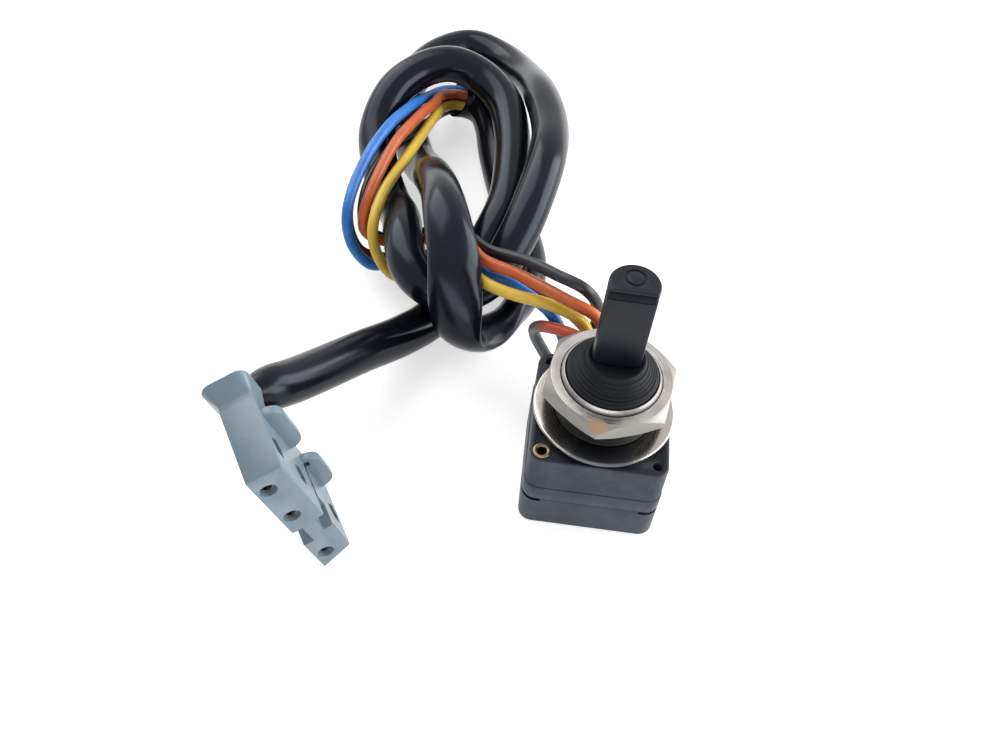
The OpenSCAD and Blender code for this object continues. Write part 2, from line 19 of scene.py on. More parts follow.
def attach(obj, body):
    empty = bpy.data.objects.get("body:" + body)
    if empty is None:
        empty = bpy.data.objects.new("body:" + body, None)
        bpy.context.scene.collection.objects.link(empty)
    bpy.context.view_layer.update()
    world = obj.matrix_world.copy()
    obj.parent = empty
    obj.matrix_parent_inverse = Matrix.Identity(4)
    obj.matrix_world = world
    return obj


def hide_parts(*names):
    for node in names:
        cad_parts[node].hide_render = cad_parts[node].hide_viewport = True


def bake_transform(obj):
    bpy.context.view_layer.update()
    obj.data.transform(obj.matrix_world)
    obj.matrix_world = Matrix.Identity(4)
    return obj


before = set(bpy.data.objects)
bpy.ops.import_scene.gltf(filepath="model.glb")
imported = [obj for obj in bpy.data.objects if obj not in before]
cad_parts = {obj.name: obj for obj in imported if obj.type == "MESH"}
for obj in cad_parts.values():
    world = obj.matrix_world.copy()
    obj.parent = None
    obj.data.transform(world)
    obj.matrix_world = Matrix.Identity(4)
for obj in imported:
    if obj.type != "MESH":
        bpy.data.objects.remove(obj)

MM = 0.001
NEAR = 0.01 * MM
TURN = 2 * math.pi

Solid = bpy.types.Object
Material = bpy.types.Material
Socket = bpy.types.NodeSocket
Edge = bmesh.types.BMEdge
Point = tuple[float, float, float]
Patch = tuple[float, float, float, float]
Colour = tuple[float, float, float]
Outline = list[tuple[float, float]]
Route = Sequence[Point]
Action = Callable[[], object]

log = logging.getLogger("potentiometer")

# Routes of the lead in millimetres, each from its exit to its far end
SLEEVE_ROUTE: Route = (
    (-42, 110, 6.5), (-38, 110, 6.3), (-34, 107, 6), (-31.5, 101, 5.5), (-29.5, 92, 5), (-25.5, 78, 5),
    (-21, 65, 5), (-18, 54, 5), (-18, 45, 5), (-21, 37, 5), (-26, 30, 6.5), (-30, 25, 9.5),
    (-32, 22.5, 15), (-33, 25, 22.5), (-34.5, 31, 29), (-37.5, 41, 31), (-40, 52, 27), (-43, 64, 20),
    (-45.5, 75, 11.5), (-49.4, 86, 5.6), (-53.4, 98, 4.9), (-56, 110, 5), (-54, 122, 5), (-49, 131, 5),
    (-41, 136, 5), (-32, 131, 6), (-25, 119, 10), (-20, 102, 17.5), (-17, 85, 22), (-17, 70, 25),
    (-19, 57, 23.5), (-22, 47, 19.5), (-26.5, 39, 14.7), (-33, 33.5, 14.5), (-39.5, 33, 16),
    (-44.5, 37, 17.5), (-47, 45, 17.5), (-49, 54.5, 14.4), (-53, 65, 10), (-57.5, 77, 9),
    (-60, 88, 11.3), (-57.5, 98, 16), (-51.5, 105.5, 18), (-44, 109, 18.5), (-36, 108, 16.5),
    (-29.5, 101, 15.3), (-26.5, 91, 15), (-25, 78, 15), (-25, 65, 14.5), (-28, 54, 12), (-32, 44, 8),
    (-38, 34, 5), (-44, 25, 7.5), (-51, 14.5, 13), (-57, 5, 18), (-62, -3, 22.5), (-67, -10, 27),
)
YELLOW_ROUTE: Route = (
    (-1, 14, 7), (-1, 17.5, 7), (-2, 21, 10.5), (-3, 22, 17), (-6, 23.5, 22), (-13, 25, 24),
    (-21, 26.5, 24), (-27, 28.9, 23.8), (-32.5, 34.8, 22.1), (-37, 39.5, 17.5), (-41, 43, 11),
    (-44, 44.5, 6.5), (-49, 44.5, 5.5), (-53, 45.5, 10.5), (-54.5, 48, 17), (-53.5, 58, 19),
    (-50.5, 72, 17.5), (-48, 86.5, 14), (-46.2, 96, 12), (-45.5, 103, 8.5), (-42.9, 107.2, 6.8),
)
BLUE_ROUTE: Route = (
    (-4.5, 14, 7), (-4.5, 17.5, 7), (-5.5, 21, 10), (-8.5, 22.5, 16), (-12.5, 26, 20.5),
    (-21, 30.5, 22.5), (-27.5, 33.2, 21.9), (-32.5, 39, 21.5), (-37, 43, 18), (-41, 46.5, 12),
    (-45, 48, 7.5), (-50, 48.5, 5.5), (-55, 47, 5.5), (-59.5, 47.5, 11.5), (-61, 52, 18),
    (-59.5, 65, 20.5), (-56, 79, 20.5), (-52, 93, 16.5), (-49, 105, 10.5), (-46, 110.5, 8.5),
    (-42.6, 112.1, 8),
)
ORANGE_ROUTE: Route = (
    (2.5, 14, 7), (2.5, 17.5, 7), (2, 20.5, 12), (0.5, 20.5, 20), (-3, 21, 26.5), (-10, 23.5, 28),
    (-20, 30, 26.5), (-28, 34, 25.5), (-32.5, 40, 24.5), (-36.5, 45.5, 21.5), (-40, 50.5, 15),
    (-44.5, 52, 10), (-50, 52.5, 8.3), (-55, 51.5, 10), (-57.3, 51, 14.5), (-56.5, 58, 19),
    (-53.5, 73, 20.5), (-50, 87, 17.5), (-47, 98, 14), (-46, 105, 11), (-42.9, 109.2, 8.9),
)
BLACK_ROUTE: Route = (
    (-3, 14, 3.5), (-3, 19, 3.5), (-3, 23, 6.5), (-2.5, 25, 15), (-2.5, 25.5, 24), (-6, 24.5, 30.5),
    (-12, 27.5, 30.5), (-19, 33, 28), (-27, 37.5, 25), (-31.5, 43, 22.5), (-35.5, 49, 18.5),
    (-40, 55, 12), (-46, 56.5, 7.5), (-52, 56.5, 5), (-57.5, 55.5, 9), (-58.5, 59.5, 14.5),
    (-57, 69.5, 16), (-53, 82, 14.5), (-48, 95, 9.8), (-46.4, 105, 4.8), (-42.9, 109.2, 4.1),
)
RED_ROUTE: Route = (
    (1, 14, 3.5), (1, 19, 3.5), (1, 24, 7), (-3, 28.5, 12.5), (-11, 32, 17.5), (-20, 34.5, 20.5),
    (-26.3, 36.4, 22.1), (-31.3, 40.9, 19.3), (-36, 44, 14), (-40, 46.5, 8.5), (-45, 50.5, 4),
    (-51, 52, 3), (-58, 51.5, 5), (-61.5, 54.5, 11), (-61.5, 62, 15.5), (-59, 74, 17),
    (-55.8, 85, 16.6), (-50.8, 96, 11.7), (-47.8, 105, 7.8), (-46, 110.5, 5.2), (-42.6, 112.1, 5),
)
LINK_ROUTE: Route = (
    (6, 14, 7), (6, 16.5, 7), (5.5, 17.2, 11), (3, 17.2, 17), (-2, 17.5, 21), (-8, 19.5, 22),
    (-14, 23, 19), (-15, 25, 14), (-11, 22.5, 8.5), (-7.8, 18, 7), (-7.8, 14, 7),
)


class Kind(Enum):
    """Kind of mesh element that an edit works on."""

    VERT = "verts"
    EDGE = "edges"
    FACE = "faces"


class Axis(Enum):
    """Axis that a rod or a hole runs along, as the turn that lays a cylinder on it."""

    X = (0.0, math.pi / 2, 0.0)
    Y = (-math.pi / 2, 0.0, 0.0)
    Z = (0.0, 0.0, 0.0)

    def direction(self) -> Vector:
        """Returns the unit vector of the axis."""
        return Vector(float(self is axis) for axis in (Axis.X, Axis.Y, Axis.Z))


class Cut(Enum):
    """How a tool solid changes the piece it meets."""

    AWAY = "DIFFERENCE"
    ADD = "UNION"
    COMMON = "INTERSECT"


class Body(Enum):
    """Body that a piece moves with."""

    HOUSING = "housing"
    LEVER = "lever"


def deselect_all() -> None:
    """Deselects every object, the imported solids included."""
    bpy.ops.object.select_all(action="DESELECT")


def only(piece: Solid) -> None:
    """Selects one piece alone and makes it the active one.

    Args:
        piece: the object to work on.
    """
    deselect_all()
    piece.select_set(True)
    bpy.context.view_layer.objects.active = piece


def fresh(name: str) -> Solid:
    """Names the object that an operator has just added, and its data.

    Args:
        name: the name of both.

    Returns:
        The new object.
    """
    piece = bpy.context.object
    piece.name = name
    piece.data.name = name
    return piece


def settle(piece: Solid) -> Solid:
    """Moves a piece's place, turn and scale into its mesh.

    Args:
        piece: the object to settle.

    Returns:
        The same object, at the origin.
    """
    only(piece)
    bpy.ops.object.transform_apply(location=True, rotation=True, scale=True)
    return piece


def join(piece: Solid, other: Solid) -> None:
    """Joins another object's mesh into a piece.

    Args:
        piece: the piece that grows.
        other: the object that goes into it.
    """
    only(piece)
    other.select_set(True)
    bpy.ops.object.join()


def block(name: str, low: Sequence[float], high: Sequence[float]) -> Solid:
    """Adds a box between two corners.

    Args:
        name: the piece's name.
        low: its lowest corner.
        high: its highest corner.

    Returns:
        The new object.
    """
    deselect_all()
    low, high = Vector(low), Vector(high)
    bpy.ops.mesh.primitive_cube_add(size=1, location=(low + high) / 2)
    piece = fresh(name)
    piece.scale = high - low
    return settle(piece)


def rod(name: str, radius: float, start: Sequence[float], length: float, axis: Axis = Axis.Z,
        sides: int = 48) -> Solid:
    """Adds a round rod.

    Args:
        name: the piece's name.
        radius: its radius.
        start: the middle of its first end.
        length: its length along the axis.
        axis: the axis that it runs along.
        sides: how many flats it has round.

    Returns:
        The new object.
    """
    deselect_all()
    middle = Vector(start) + axis.direction() * length / 2
    bpy.ops.mesh.primitive_cylinder_add(vertices=sides, radius=radius, depth=length, location=middle,
                                        rotation=axis.value)
    return settle(fresh(name))


def shape(piece: Solid, kind: Kind, wanted: Callable[..., bool], *actions: Action) -> None:
    """Selects elements by their place in edit mode and runs operators on them.

    Args:
        piece: the piece to shape.
        kind: whether vertices, edges or faces are selected.
        wanted: says of an element whether it is selected.
        actions: the operators to run, in order.
    """
    only(piece)
    bpy.ops.object.mode_set(mode="EDIT")
    bpy.ops.mesh.select_mode(type=kind.name)
    bpy.ops.mesh.select_all(action="DESELECT")
    work = bmesh.from_edit_mesh(piece.data)
    for element in filter(wanted, getattr(work, kind.value)):
        element.select_set(True)
    bmesh.update_edit_mesh(piece.data)
    for action in actions:
        action()
    bpy.ops.object.mode_set(mode="OBJECT")


def bevel(width: float, segments: int) -> Action:
    """Returns the bevel operator for the selected edges."""
    return partial(bpy.ops.mesh.bevel, offset=width, segments=segments, profile=0.5, affect="EDGES")


def inset(width: float) -> Action:
    """Returns the inset operator for the selected faces."""
    return partial(bpy.ops.mesh.inset, thickness=width, use_boundary=True)


def extrude(x: float = 0.0, y: float = 0.0, z: float = 0.0) -> Action:
    """Returns the operator that extrudes the selection by a step."""
    return partial(bpy.ops.mesh.extrude_region_move, TRANSFORM_OT_translate={"value": (x, y, z)})


def move(x: float = 0.0, y: float = 0.0, z: float = 0.0) -> Action:
    """Returns the operator that moves the selection by a step."""
    return partial(bpy.ops.transform.translate, value=(x, y, z))


SELECT_ALL = partial(bpy.ops.mesh.select_all, action="SELECT")
TURN_OUTWARDS = partial(bpy.ops.mesh.normals_make_consistent, inside=False)


def every(element: object) -> bool:
    """Tells of every element that it is wanted."""
    return True


def upright(edge: Edge) -> bool:
    """Tells whether an edge runs along Z."""
    run = edge.verts[1].co - edge.verts[0].co
    return abs(run.x) + abs(run.y) < NEAR < abs(run.z)


def level(axis: int, height: float) -> Callable[[Edge], bool]:
    """Returns the test for edges whose ends both lie at one height along an axis."""
    return lambda edge: all(abs(vert.co[axis] - height) < NEAR for vert in edge.verts)


def facing(x: float = 0.0, y: float = 0.0, z: float = 0.0) -> Callable[[bmesh.types.BMFace], bool]:
    """Returns the test for faces that look one way."""
    return lambda face: face.normal.dot(Vector((x, y, z))) > 0.99


def on_mouth(axis: int, height: float, holes: Outline, reach: float) -> Callable[[Edge], bool]:
    """Makes the test for edges on the mouths of holes in a flat side.

    Args:
        axis: the axis that the holes run along.
        height: where the flat side lies on it.
        holes: the middles of the holes on the other two axes.
        reach: how far from a hole's middle its mouth may lie.

    Returns:
        The test.
    """
    flat = level(axis, height)
    first, second = (other for other in range(3) if other != axis)

    def test(edge: Edge) -> bool:
        """Tells whether an edge lies on a mouth."""
        middle = (edge.verts[0].co + edge.verts[1].co) / 2
        return flat(edge) and any(math.hypot(middle[first] - a, middle[second] - b) < reach for a, b in holes)

    return test


def modify(piece: Solid, kind: str, **settings: object) -> None:
    """Puts a modifier on a piece and applies it.

    Args:
        piece: the piece to change.
        kind: the modifier's type.
        settings: the modifier's settings.
    """
    only(piece)
    change = piece.modifiers.new(kind.lower(), kind)
    for name, value in settings.items():
        setattr(change, name, value)
    bpy.ops.object.modifier_apply(modifier=change.name)


def meet(piece: Solid, tool: Solid, how: Cut = Cut.AWAY) -> None:
    """Cuts a piece with a tool solid, adds it or keeps what both share, and removes the tool."""
    modify(piece, "BOOLEAN", operation=how.value, solver="EXACT", object=tool)
    bpy.data.objects.remove(tool, do_unlink=True)


def soften(piece: Solid, width: float, segments: int = 2, angle: float = 35.0) -> None:
    """Rounds all edges of a piece that are sharper than an angle in degrees."""
    modify(piece, "BEVEL", limit_method="ANGLE", angle_limit=math.radians(angle), width=width,
           segments=segments, use_clamp_overlap=True)


def smooth(piece: Solid, angle: float = 32.0) -> None:
    """Shades a piece smooth across all edges flatter than an angle in degrees."""
    only(piece)
    bpy.ops.object.shade_smooth_by_angle(angle=math.radians(angle))


def arc(r: float, z: float, radius: float, start: float, end: float, steps: int = 5) -> Outline:
    """Makes the points of an arc in a turned outline.

    Args:
        r: distance of the arc's centre from the axis.
        z: height of the arc's centre.
        radius: the arc's radius.
        start: first angle in degrees, from outwards to up.
        end: last angle in degrees.
        steps: how many steps it has.

    Returns:
        The points as (distance, height).
    """
    angles = [math.radians(start + (end - start) * i / steps) for i in range(steps + 1)]
    return [(r + radius * math.cos(a), z + radius * math.sin(a)) for a in angles]


def turned(name: str, outline: Outline, steps: int = 96) -> Solid:
    """Extrudes a closed outline point by point and spins it round the Z axis.

    Args:
        name: the piece's name.
        outline: points as (distance from the axis, height).
        steps: how many steps the spin has.

    Returns:
        The new object.
    """
    deselect_all()
    bpy.ops.mesh.primitive_plane_add(size=MM)
    piece = fresh(name)
    draw = [extrude(x=b[0] - a[0], z=b[1] - a[1]) for a, b in zip(outline, outline[1:])]
    shape(piece, Kind.VERT, every, partial(bpy.ops.mesh.merge, type="CENTER"),
          move(x=outline[0][0], z=outline[0][1]), *draw)
    shape(piece, Kind.VERT, lambda vert: len(vert.link_edges) == 1, bpy.ops.mesh.edge_face_add)
    spin = partial(bpy.ops.mesh.spin, steps=steps, angle=TURN, center=(0, 0, 0), axis=(0, 0, 1))
    clean = partial(bpy.ops.mesh.remove_doubles, threshold=0.1 * NEAR)
    shape(piece, Kind.VERT, every, SELECT_ALL, spin, SELECT_ALL, clean, TURN_OUTWARDS)
    return piece


def prism(name: str, corners: Outline, low: float, high: float) -> Solid:
    """Makes an upright face with the given corners and extrudes it along X.

    Args:
        name: the piece's name.
        corners: its corners as (y, z).
        low: the lowest x.
        high: the highest x.

    Returns:
        The new object.
    """
    deselect_all()
    bpy.ops.mesh.primitive_circle_add(vertices=len(corners), radius=MM, fill_type="NGON")
    piece = fresh(name)
    for vert, (y, z) in zip(piece.data.vertices, corners):
        vert.co = (low, y, z)
    shape(piece, Kind.FACE, every, extrude(x=high - low), SELECT_ALL, TURN_OUTWARDS)
    return piece


def rounded_block(name: str, half: float, low: float, high: float, radius: float) -> Solid:
    """Adds a square block whose upright edges are round.

    Args:
        name: the piece's name.
        half: half its side.
        low: its lowest height.
        high: its highest height.
        radius: the radius of its upright edges.

    Returns:
        The new object.
    """
    piece = block(name, (-half, -half, low), (half, half, high))
    shape(piece, Kind.EDGE, upright, bevel(radius, 10))
    return piece


def dress(piece: Solid, finish: Material, body: Body | None, node: str) -> Solid:
    """Gives a piece its finish, the body it rides on and the solid it stands for.

    Args:
        piece: the finished piece.
        finish: its material.
        body: the body that it moves with, or None for a piece that is attached to no body.
        node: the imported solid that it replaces.

    Returns:
        The same object.
    """
    piece.data.materials.clear()
    piece.data.materials.append(finish)
    if body:
        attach(piece, body.value)
    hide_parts(node)
    return piece


class Sheet:
    """A node tree that is written one node at a time."""

    def __init__(self, tree: bpy.types.NodeTree) -> None:
        """Starts with the tree that the nodes go into."""
        self.tree = tree

    def feed(self, node: bpy.types.Node, feeds: dict) -> None:
        """Fills a node's inputs.

        Args:
            node: the node to feed.
            feeds: what goes into each input: a socket to link, or a plain number, place or colour.
        """
        for name, value in feeds.items():
            socket = node.inputs[name]
            if isinstance(value, Socket):
                self.tree.links.new(value, socket)
            else:
                socket.default_value = (*value, 1.0) if socket.type == "RGBA" else value

    def add(self, kind: str, feeds: dict | None = None, **settings: object) -> bpy.types.Node:
        """Adds a node.

        Args:
            kind: the node's type.
            feeds: what goes into its inputs.
            settings: the node's own settings.

        Returns:
            The new node.
        """
        node = self.tree.nodes.new(kind)
        for name, value in settings.items():
            setattr(node, name, value)
        self.feed(node, feeds or {})
        return node

    def maths(self, operation: str, *values: object) -> Socket:
        """Adds a Math node on the given values and returns its output."""
        return self.add("ShaderNodeMath", dict(enumerate(values)), operation=operation).outputs[0]

    def compare(self, operation: str, *vectors: Socket) -> Socket:
        """Adds a Vector Math node on the given vectors and returns the number it finds."""
        feeds = dict(enumerate(vectors))
        return self.add("ShaderNodeVectorMath", feeds, operation=operation).outputs["Value"]

    def height(self, vector: Socket) -> Socket:
        """Returns the Z value of a vector."""
        return self.add("ShaderNodeSeparateXYZ", {"Vector": vector}).outputs["Z"]

    def between(self, value: object, low: float, high: float, to_low: float, to_high: float) -> Socket:
        """Maps a value smoothly from one range to another and returns it."""
        feeds = {"Value": value, "From Min": low, "From Max": high, "To Min": to_low, "To Max": to_high}
        return self.add("ShaderNodeMapRange", feeds, interpolation_type="SMOOTHSTEP").outputs[0]

    def blend(self, share: object, first: object, second: object) -> Socket:
        """Mixes two colours by a share and returns the result."""
        return self.add("ShaderNodeMix", {0: share, 6: first, 7: second}, data_type="RGBA").outputs[2]

    def noise(self, place: Socket, scale: object, detail: float, roughness: float = 0.5,
              distortion: float = 0.0) -> Socket:
        """Adds a noise texture.

        Args:
            place: where it is read.
            scale: its scale.
            detail: how many octaves it has.
            roughness: how strong the finer octaves are.
            distortion: how much it is distorted.

        Returns:
            The noise.
        """
        feeds = {"Vector": place, "Scale": scale, "Detail": detail, "Roughness": roughness,
                 "Distortion": distortion}
        return self.add("ShaderNodeTexNoise", feeds).outputs[0]

    def seen(self) -> Socket:
        """Makes the mask of what the camera sees, also in a reflection or through glass.

        Returns:
            The mask.
        """
        rays = self.add("ShaderNodeLightPath").outputs
        mirrored = self.maths("MAXIMUM", rays["Is Glossy Ray"], rays["Is Transmission Ray"])
        return self.maths("MAXIMUM", rays["Is Camera Ray"], mirrored)


class Effect(Sheet):
    """A shader node group that reads a Vector and puts out values."""

    def __init__(self, name: str, numbers: dict[str, float], outputs: Sequence[str],
                 places: Sequence[str] = ()) -> None:
        """Starts the group.

        Args:
            name: the group's name.
            numbers: its number inputs and their usual values.
            outputs: the names of its outputs.
            places: further vector inputs.
        """
        super().__init__(bpy.data.node_groups.new(name, "ShaderNodeTree"))
        panel = self.tree.interface
        for place in ("Vector", *places):
            panel.new_socket(place, in_out="INPUT", socket_type="NodeSocketVector")
        for number, usual in numbers.items():
            panel.new_socket(number, in_out="INPUT", socket_type="NodeSocketFloat").default_value = usual
        for output in outputs:
            panel.new_socket(output, in_out="OUTPUT", socket_type="NodeSocketFloat")
        self.given = self.add("NodeGroupInput").outputs
        self.results = self.add("NodeGroupOutput")

    def close(self, **results: Socket) -> bpy.types.NodeTree:
        """Feeds the group's outputs and returns the group."""
        self.feed(self.results, results)
        return self.tree


def grain_effect() -> bpy.types.NodeTree:
    """Builds the moulded grain: a fine texture over broad, soft differences.

    Returns:
        The node group.
    """
    effect = Effect("moulded_grain", {"Fine": 4000.0, "Broad": 150.0}, ("Fine", "Broad", "Height"))
    fine = effect.noise(effect.given["Vector"], effect.given["Fine"], 3.0, 0.6)
    broad = effect.noise(effect.given["Vector"], effect.given["Broad"], 5.0, 0.55)
    return effect.close(Fine=fine, Broad=broad, Height=effect.maths("MULTIPLY_ADD", broad, 0.6, fine))


def scuff_effect() -> bpy.types.NodeTree:
    """Builds rubbed spots and short scratches, as a mask.

    Returns:
        The node group.
    """
    effect = Effect("scuffs", {"Scale": 220.0, "Amount": 0.3}, ("Mask",))
    place, scale, amount = (effect.given[name] for name in ("Vector", "Scale", "Amount"))
    spots = effect.noise(place, scale, 8.0, 0.75, 0.6)
    stretched = effect.add("ShaderNodeMapping", {"Vector": place, "Scale": (0.2, 1.0, 1.7),
                                                 "Rotation": (0.4, 0.9, 0.3)}).outputs[0]
    lines = effect.noise(stretched, effect.maths("MULTIPLY", scale, 9.0), 2.0)
    edge = effect.maths("SUBTRACT", 0.74, effect.maths("MULTIPLY", amount, 0.3))
    rubbed = effect.between(spots, 0.0, 1.0, 0.0, 1.0)
    spot_mask = effect.maths("MULTIPLY", effect.maths("GREATER_THAN", rubbed, edge), 0.6)
    line_mask = effect.maths("MULTIPLY", effect.between(lines, 0.68, 0.76, 0.0, 1.0), amount)
    return effect.close(Mask=effect.maths("MAXIMUM", spot_mask, line_mask))


def turning_effect() -> bpy.types.NodeTree:
    """Builds the fine rings that a lathe leaves round the Z axis.

    Returns:
        The node group.
    """
    effect = Effect("turning_marks", {"Rings": 6000.0}, ("Marks",))
    place = effect.add("ShaderNodeSeparateXYZ", {"Vector": effect.given["Vector"]}).outputs
    flat = effect.add("ShaderNodeCombineXYZ", {"X": place["X"], "Y": place["Y"]}).outputs[0]
    climb = effect.maths("MULTIPLY", place["Z"], 0.7)
    across = effect.maths("ADD", effect.compare("LENGTH", flat), climb)
    feeds = {"W": effect.maths("MULTIPLY", across, effect.given["Rings"]), "Scale": 1.0, "Detail": 4.0,
             "Roughness": 0.7}
    return effect.close(Marks=effect.add("ShaderNodeTexNoise", feeds, noise_dimensions="1D").outputs[0])


def spot_effect() -> bpy.types.NodeTree:
    """Builds a soft, ragged patch round one place, as a mask.

    Returns:
        The node group.
    """
    effect = Effect("worn_patch", {"Reach": 0.003, "Ragged": 0.4}, ("Mask",), ("Centre",))
    gap = effect.compare("DISTANCE", effect.given["Vector"], effect.given["Centre"])
    noise = effect.maths("SUBTRACT", effect.noise(effect.given["Vector"], 900.0, 6.0), 0.5)
    ragged = effect.maths("MULTIPLY", noise, effect.given["Ragged"])
    share = effect.maths("ADD", effect.maths("DIVIDE", gap, effect.given["Reach"]), ragged)
    return effect.close(Mask=effect.between(share, 0.55, 1.05, 1.0, 0.0))


GRAIN = grain_effect()
SCUFFS = scuff_effect()
TURNING = turning_effect()
SPOT = spot_effect()


class Surface(Sheet):
    """A material on a Principled shader, whose patterns read object coordinates."""

    def __init__(self, name: str) -> None:
        """Starts the material.

        Args:
            name: the material's name.
        """
        self.finish = bpy.data.materials.new(name)
        self.finish.use_nodes = True
        super().__init__(self.finish.node_tree)
        self.shader = self.tree.nodes["Principled BSDF"]
        self.place = self.coordinate("Object")

    def coordinate(self, kind: str) -> Socket:
        """Returns one kind of texture coordinate."""
        return self.add("ShaderNodeTexCoord").outputs[kind]

    def effect(self, tree: bpy.types.NodeTree, **values: object) -> bpy.types.bpy_prop_collection:
        """Places a node group with its values and returns its outputs."""
        return self.add("ShaderNodeGroup", {"Vector": self.place, **values}, node_tree=tree).outputs

    def spot(self, patch: Patch, ragged: float) -> Socket:
        """Places a soft patch, given as its middle and reach in millimetres, and returns its mask."""
        x, y, z, reach = (size * MM for size in patch)
        return self.effect(SPOT, Centre=(x, y, z), Reach=reach, Ragged=ragged)["Mask"]

    def close(self, colour: Socket, rough: Socket, height: Socket, depth: float) -> Material:
        """Feeds the shader.

        Args:
            colour: the base colour.
            rough: the roughness.
            height: the relief.
            depth: how deep the relief is.

        Returns:
            The finished material.
        """
        bump = self.add("ShaderNodeBump", {"Height": height, "Distance": depth}).outputs[0]
        self.feed(self.shader, {"Base Color": colour, "Roughness": rough, "Normal": bump})
        return self.finish


@dataclass(frozen=True)
class Moulded:
    """Moulded plastic or rubber: a grained surface with broad, soft differences and a few scuffs, with a
    painted highlight along its edges and a painted darker top (painted shade) where asked.
    """

    name: str
    colour: Colour
    pale: Colour
    roughness: float
    spread: float = 0.1
    fine: float = 4500.0
    broad: float = 160.0
    depth: float = 0.012 * MM
    scuffed: float = 0.25
    specular: float = 0.5
    # painted highlight along rounded edges: how strong it is, how far it reaches and how much it lightens
    painted_edge_highlight: float = 0.0
    edge_radius: float = 0.18 * MM
    edge_gain: float = 2.2
    edge_lift: float = 0.015
    # colour of faces that look up: a painted darker top, as painted shade
    deck: Colour | None = None
    patch: Patch | None = None
    patch_colour: Colour = (0.17, 0.18, 0.195)

    def make(self) -> Material:
        """Builds the material.

        Returns:
            The finished material.
        """
        surface = Surface(self.name)
        grain = surface.effect(GRAIN, Fine=self.fine, Broad=self.broad)
        scuffs = surface.effect(SCUFFS, Amount=self.scuffed)
        cloud = surface.between(grain["Broad"], 0.35, 0.7, 0.0, 0.55)
        colour = surface.blend(surface.maths("MAXIMUM", cloud, scuffs["Mask"]), self.colour, self.pale)
        # painted shade: faces that look up are blended towards a darker colour
        if self.deck:
            up = surface.height(surface.coordinate("Normal"))
            colour = surface.blend(surface.between(up, 0.5, 0.9, 0.0, 0.9), colour, self.deck)
        # painted highlight: the colour is lightened where the Bevel node finds a rounded edge
        if self.painted_edge_highlight:
            rounded = surface.add("ShaderNodeBevel", {"Radius": self.edge_radius}, samples=4).outputs[0]
            true = surface.add("ShaderNodeNewGeometry").outputs["Normal"]
            same = surface.compare("DOT_PRODUCT", rounded, true)
            highlight_colour = tuple(min(1.0, self.edge_gain * c + self.edge_lift) for c in self.pale)
            colour = surface.blend(surface.between(same, 0.8, 0.995, self.painted_edge_highlight, 0.0), colour, highlight_colour)
        if self.patch:
            colour = surface.blend(surface.spot(self.patch, 0.0), colour, self.patch_colour)
        rough = surface.between(grain["Fine"], 0.3, 0.7, self.roughness, self.roughness + self.spread)
        surface.feed(surface.shader, {"Specular IOR Level": self.specular})
        return surface.close(colour, rough, grain["Height"], self.depth)


@dataclass(frozen=True)
class Plated:
    """Turned and plated metal with lathe rings, dull clouds, patches of wear and of painted dark reflection,
    and a band of painted shade low down.
    """

    name: str
    colour: Colour
    dull: Colour
    wear_and_reflection: Colour
    roughness: float
    rings: float = 6000.0
    ring_depth: float = 0.004 * MM
    clouds: float = 0.5
    patches: tuple[Patch, ...] = ()
    patch_strength: float = 1.0
    ragged: float = 0.4
    patch_rough: float = 0.12
    # painted shade: the heights in millimetres below which the colour darkens
    shade: tuple[float, float] | None = None
    shade_colour: Colour = (0.05, 0.046, 0.04)
    shade_rough: float = 0.3
    milled_sides: bool = False
    side_colour: Colour = (0.30, 0.288, 0.262)
    side_share: float = 0.9
    side_metal: float = 0.15
    slant_rough: float = 0.22

    def make(self) -> Material:
        """Builds the material.

        Returns:
            The finished material.
        """
        surface = Surface(self.name)
        grain = surface.effect(GRAIN, Broad=260.0, Fine=5200.0)
        marks = surface.effect(TURNING, Rings=self.rings)["Marks"]
        cloud = surface.between(grain["Broad"], 0.4, 0.72, 0.0, self.clouds)
        colour = surface.blend(cloud, self.colour, self.dull)
        rough = surface.between(marks, 0.3, 0.7, self.roughness * 0.7, self.roughness * 1.4)
        surface.feed(surface.shader, {"Metallic": 1.0})
        if self.milled_sides:
            up = surface.maths("ABSOLUTE", surface.height(surface.coordinate("Normal")))
            side = surface.between(up, 0.4, 0.6, 1.0, 0.0)
            slant = surface.between(up, 0.8, 0.95, 1.0, 0.0)
            marks = surface.maths("MULTIPLY", marks, surface.maths("SUBTRACT", 1.0, side))
            rough = surface.maths("MULTIPLY_ADD", slant, self.slant_rough, rough)
            metal = surface.maths("MULTIPLY_ADD", side, self.side_metal - 1.0, 1.0)
            surface.feed(surface.shader, {"Metallic": metal})
            colour = surface.blend(slant, colour, self.dull)
            colour = surface.blend(surface.maths("MULTIPLY", side, self.side_share), colour, self.side_colour)
        # painted shade: darker and rougher below a height, where a gap between parts is in shade
        if self.shade:
            low, high = (height * MM for height in self.shade)
            shaded = surface.between(surface.height(surface.place), low, high, 1.0, 0.0)
            colour = surface.blend(shaded, colour, self.shade_colour)
            rough = surface.maths("MULTIPLY_ADD", shaded, self.shade_rough, rough)
        # patches in their own colour: worn plating where the metal is rubbed, a painted dark reflection where
        # it mirrors a dark part
        for patch in self.patches:
            mask = surface.spot(patch, self.ragged)
            colour = surface.blend(surface.maths("MULTIPLY", mask, self.patch_strength), colour, self.wear_and_reflection)
            rough = surface.maths("MULTIPLY_ADD", mask, self.patch_rough, rough)
        relief = surface.maths("MULTIPLY_ADD", grain["Fine"], 0.3, marks)
        return surface.close(colour, rough, relief, self.ring_depth)


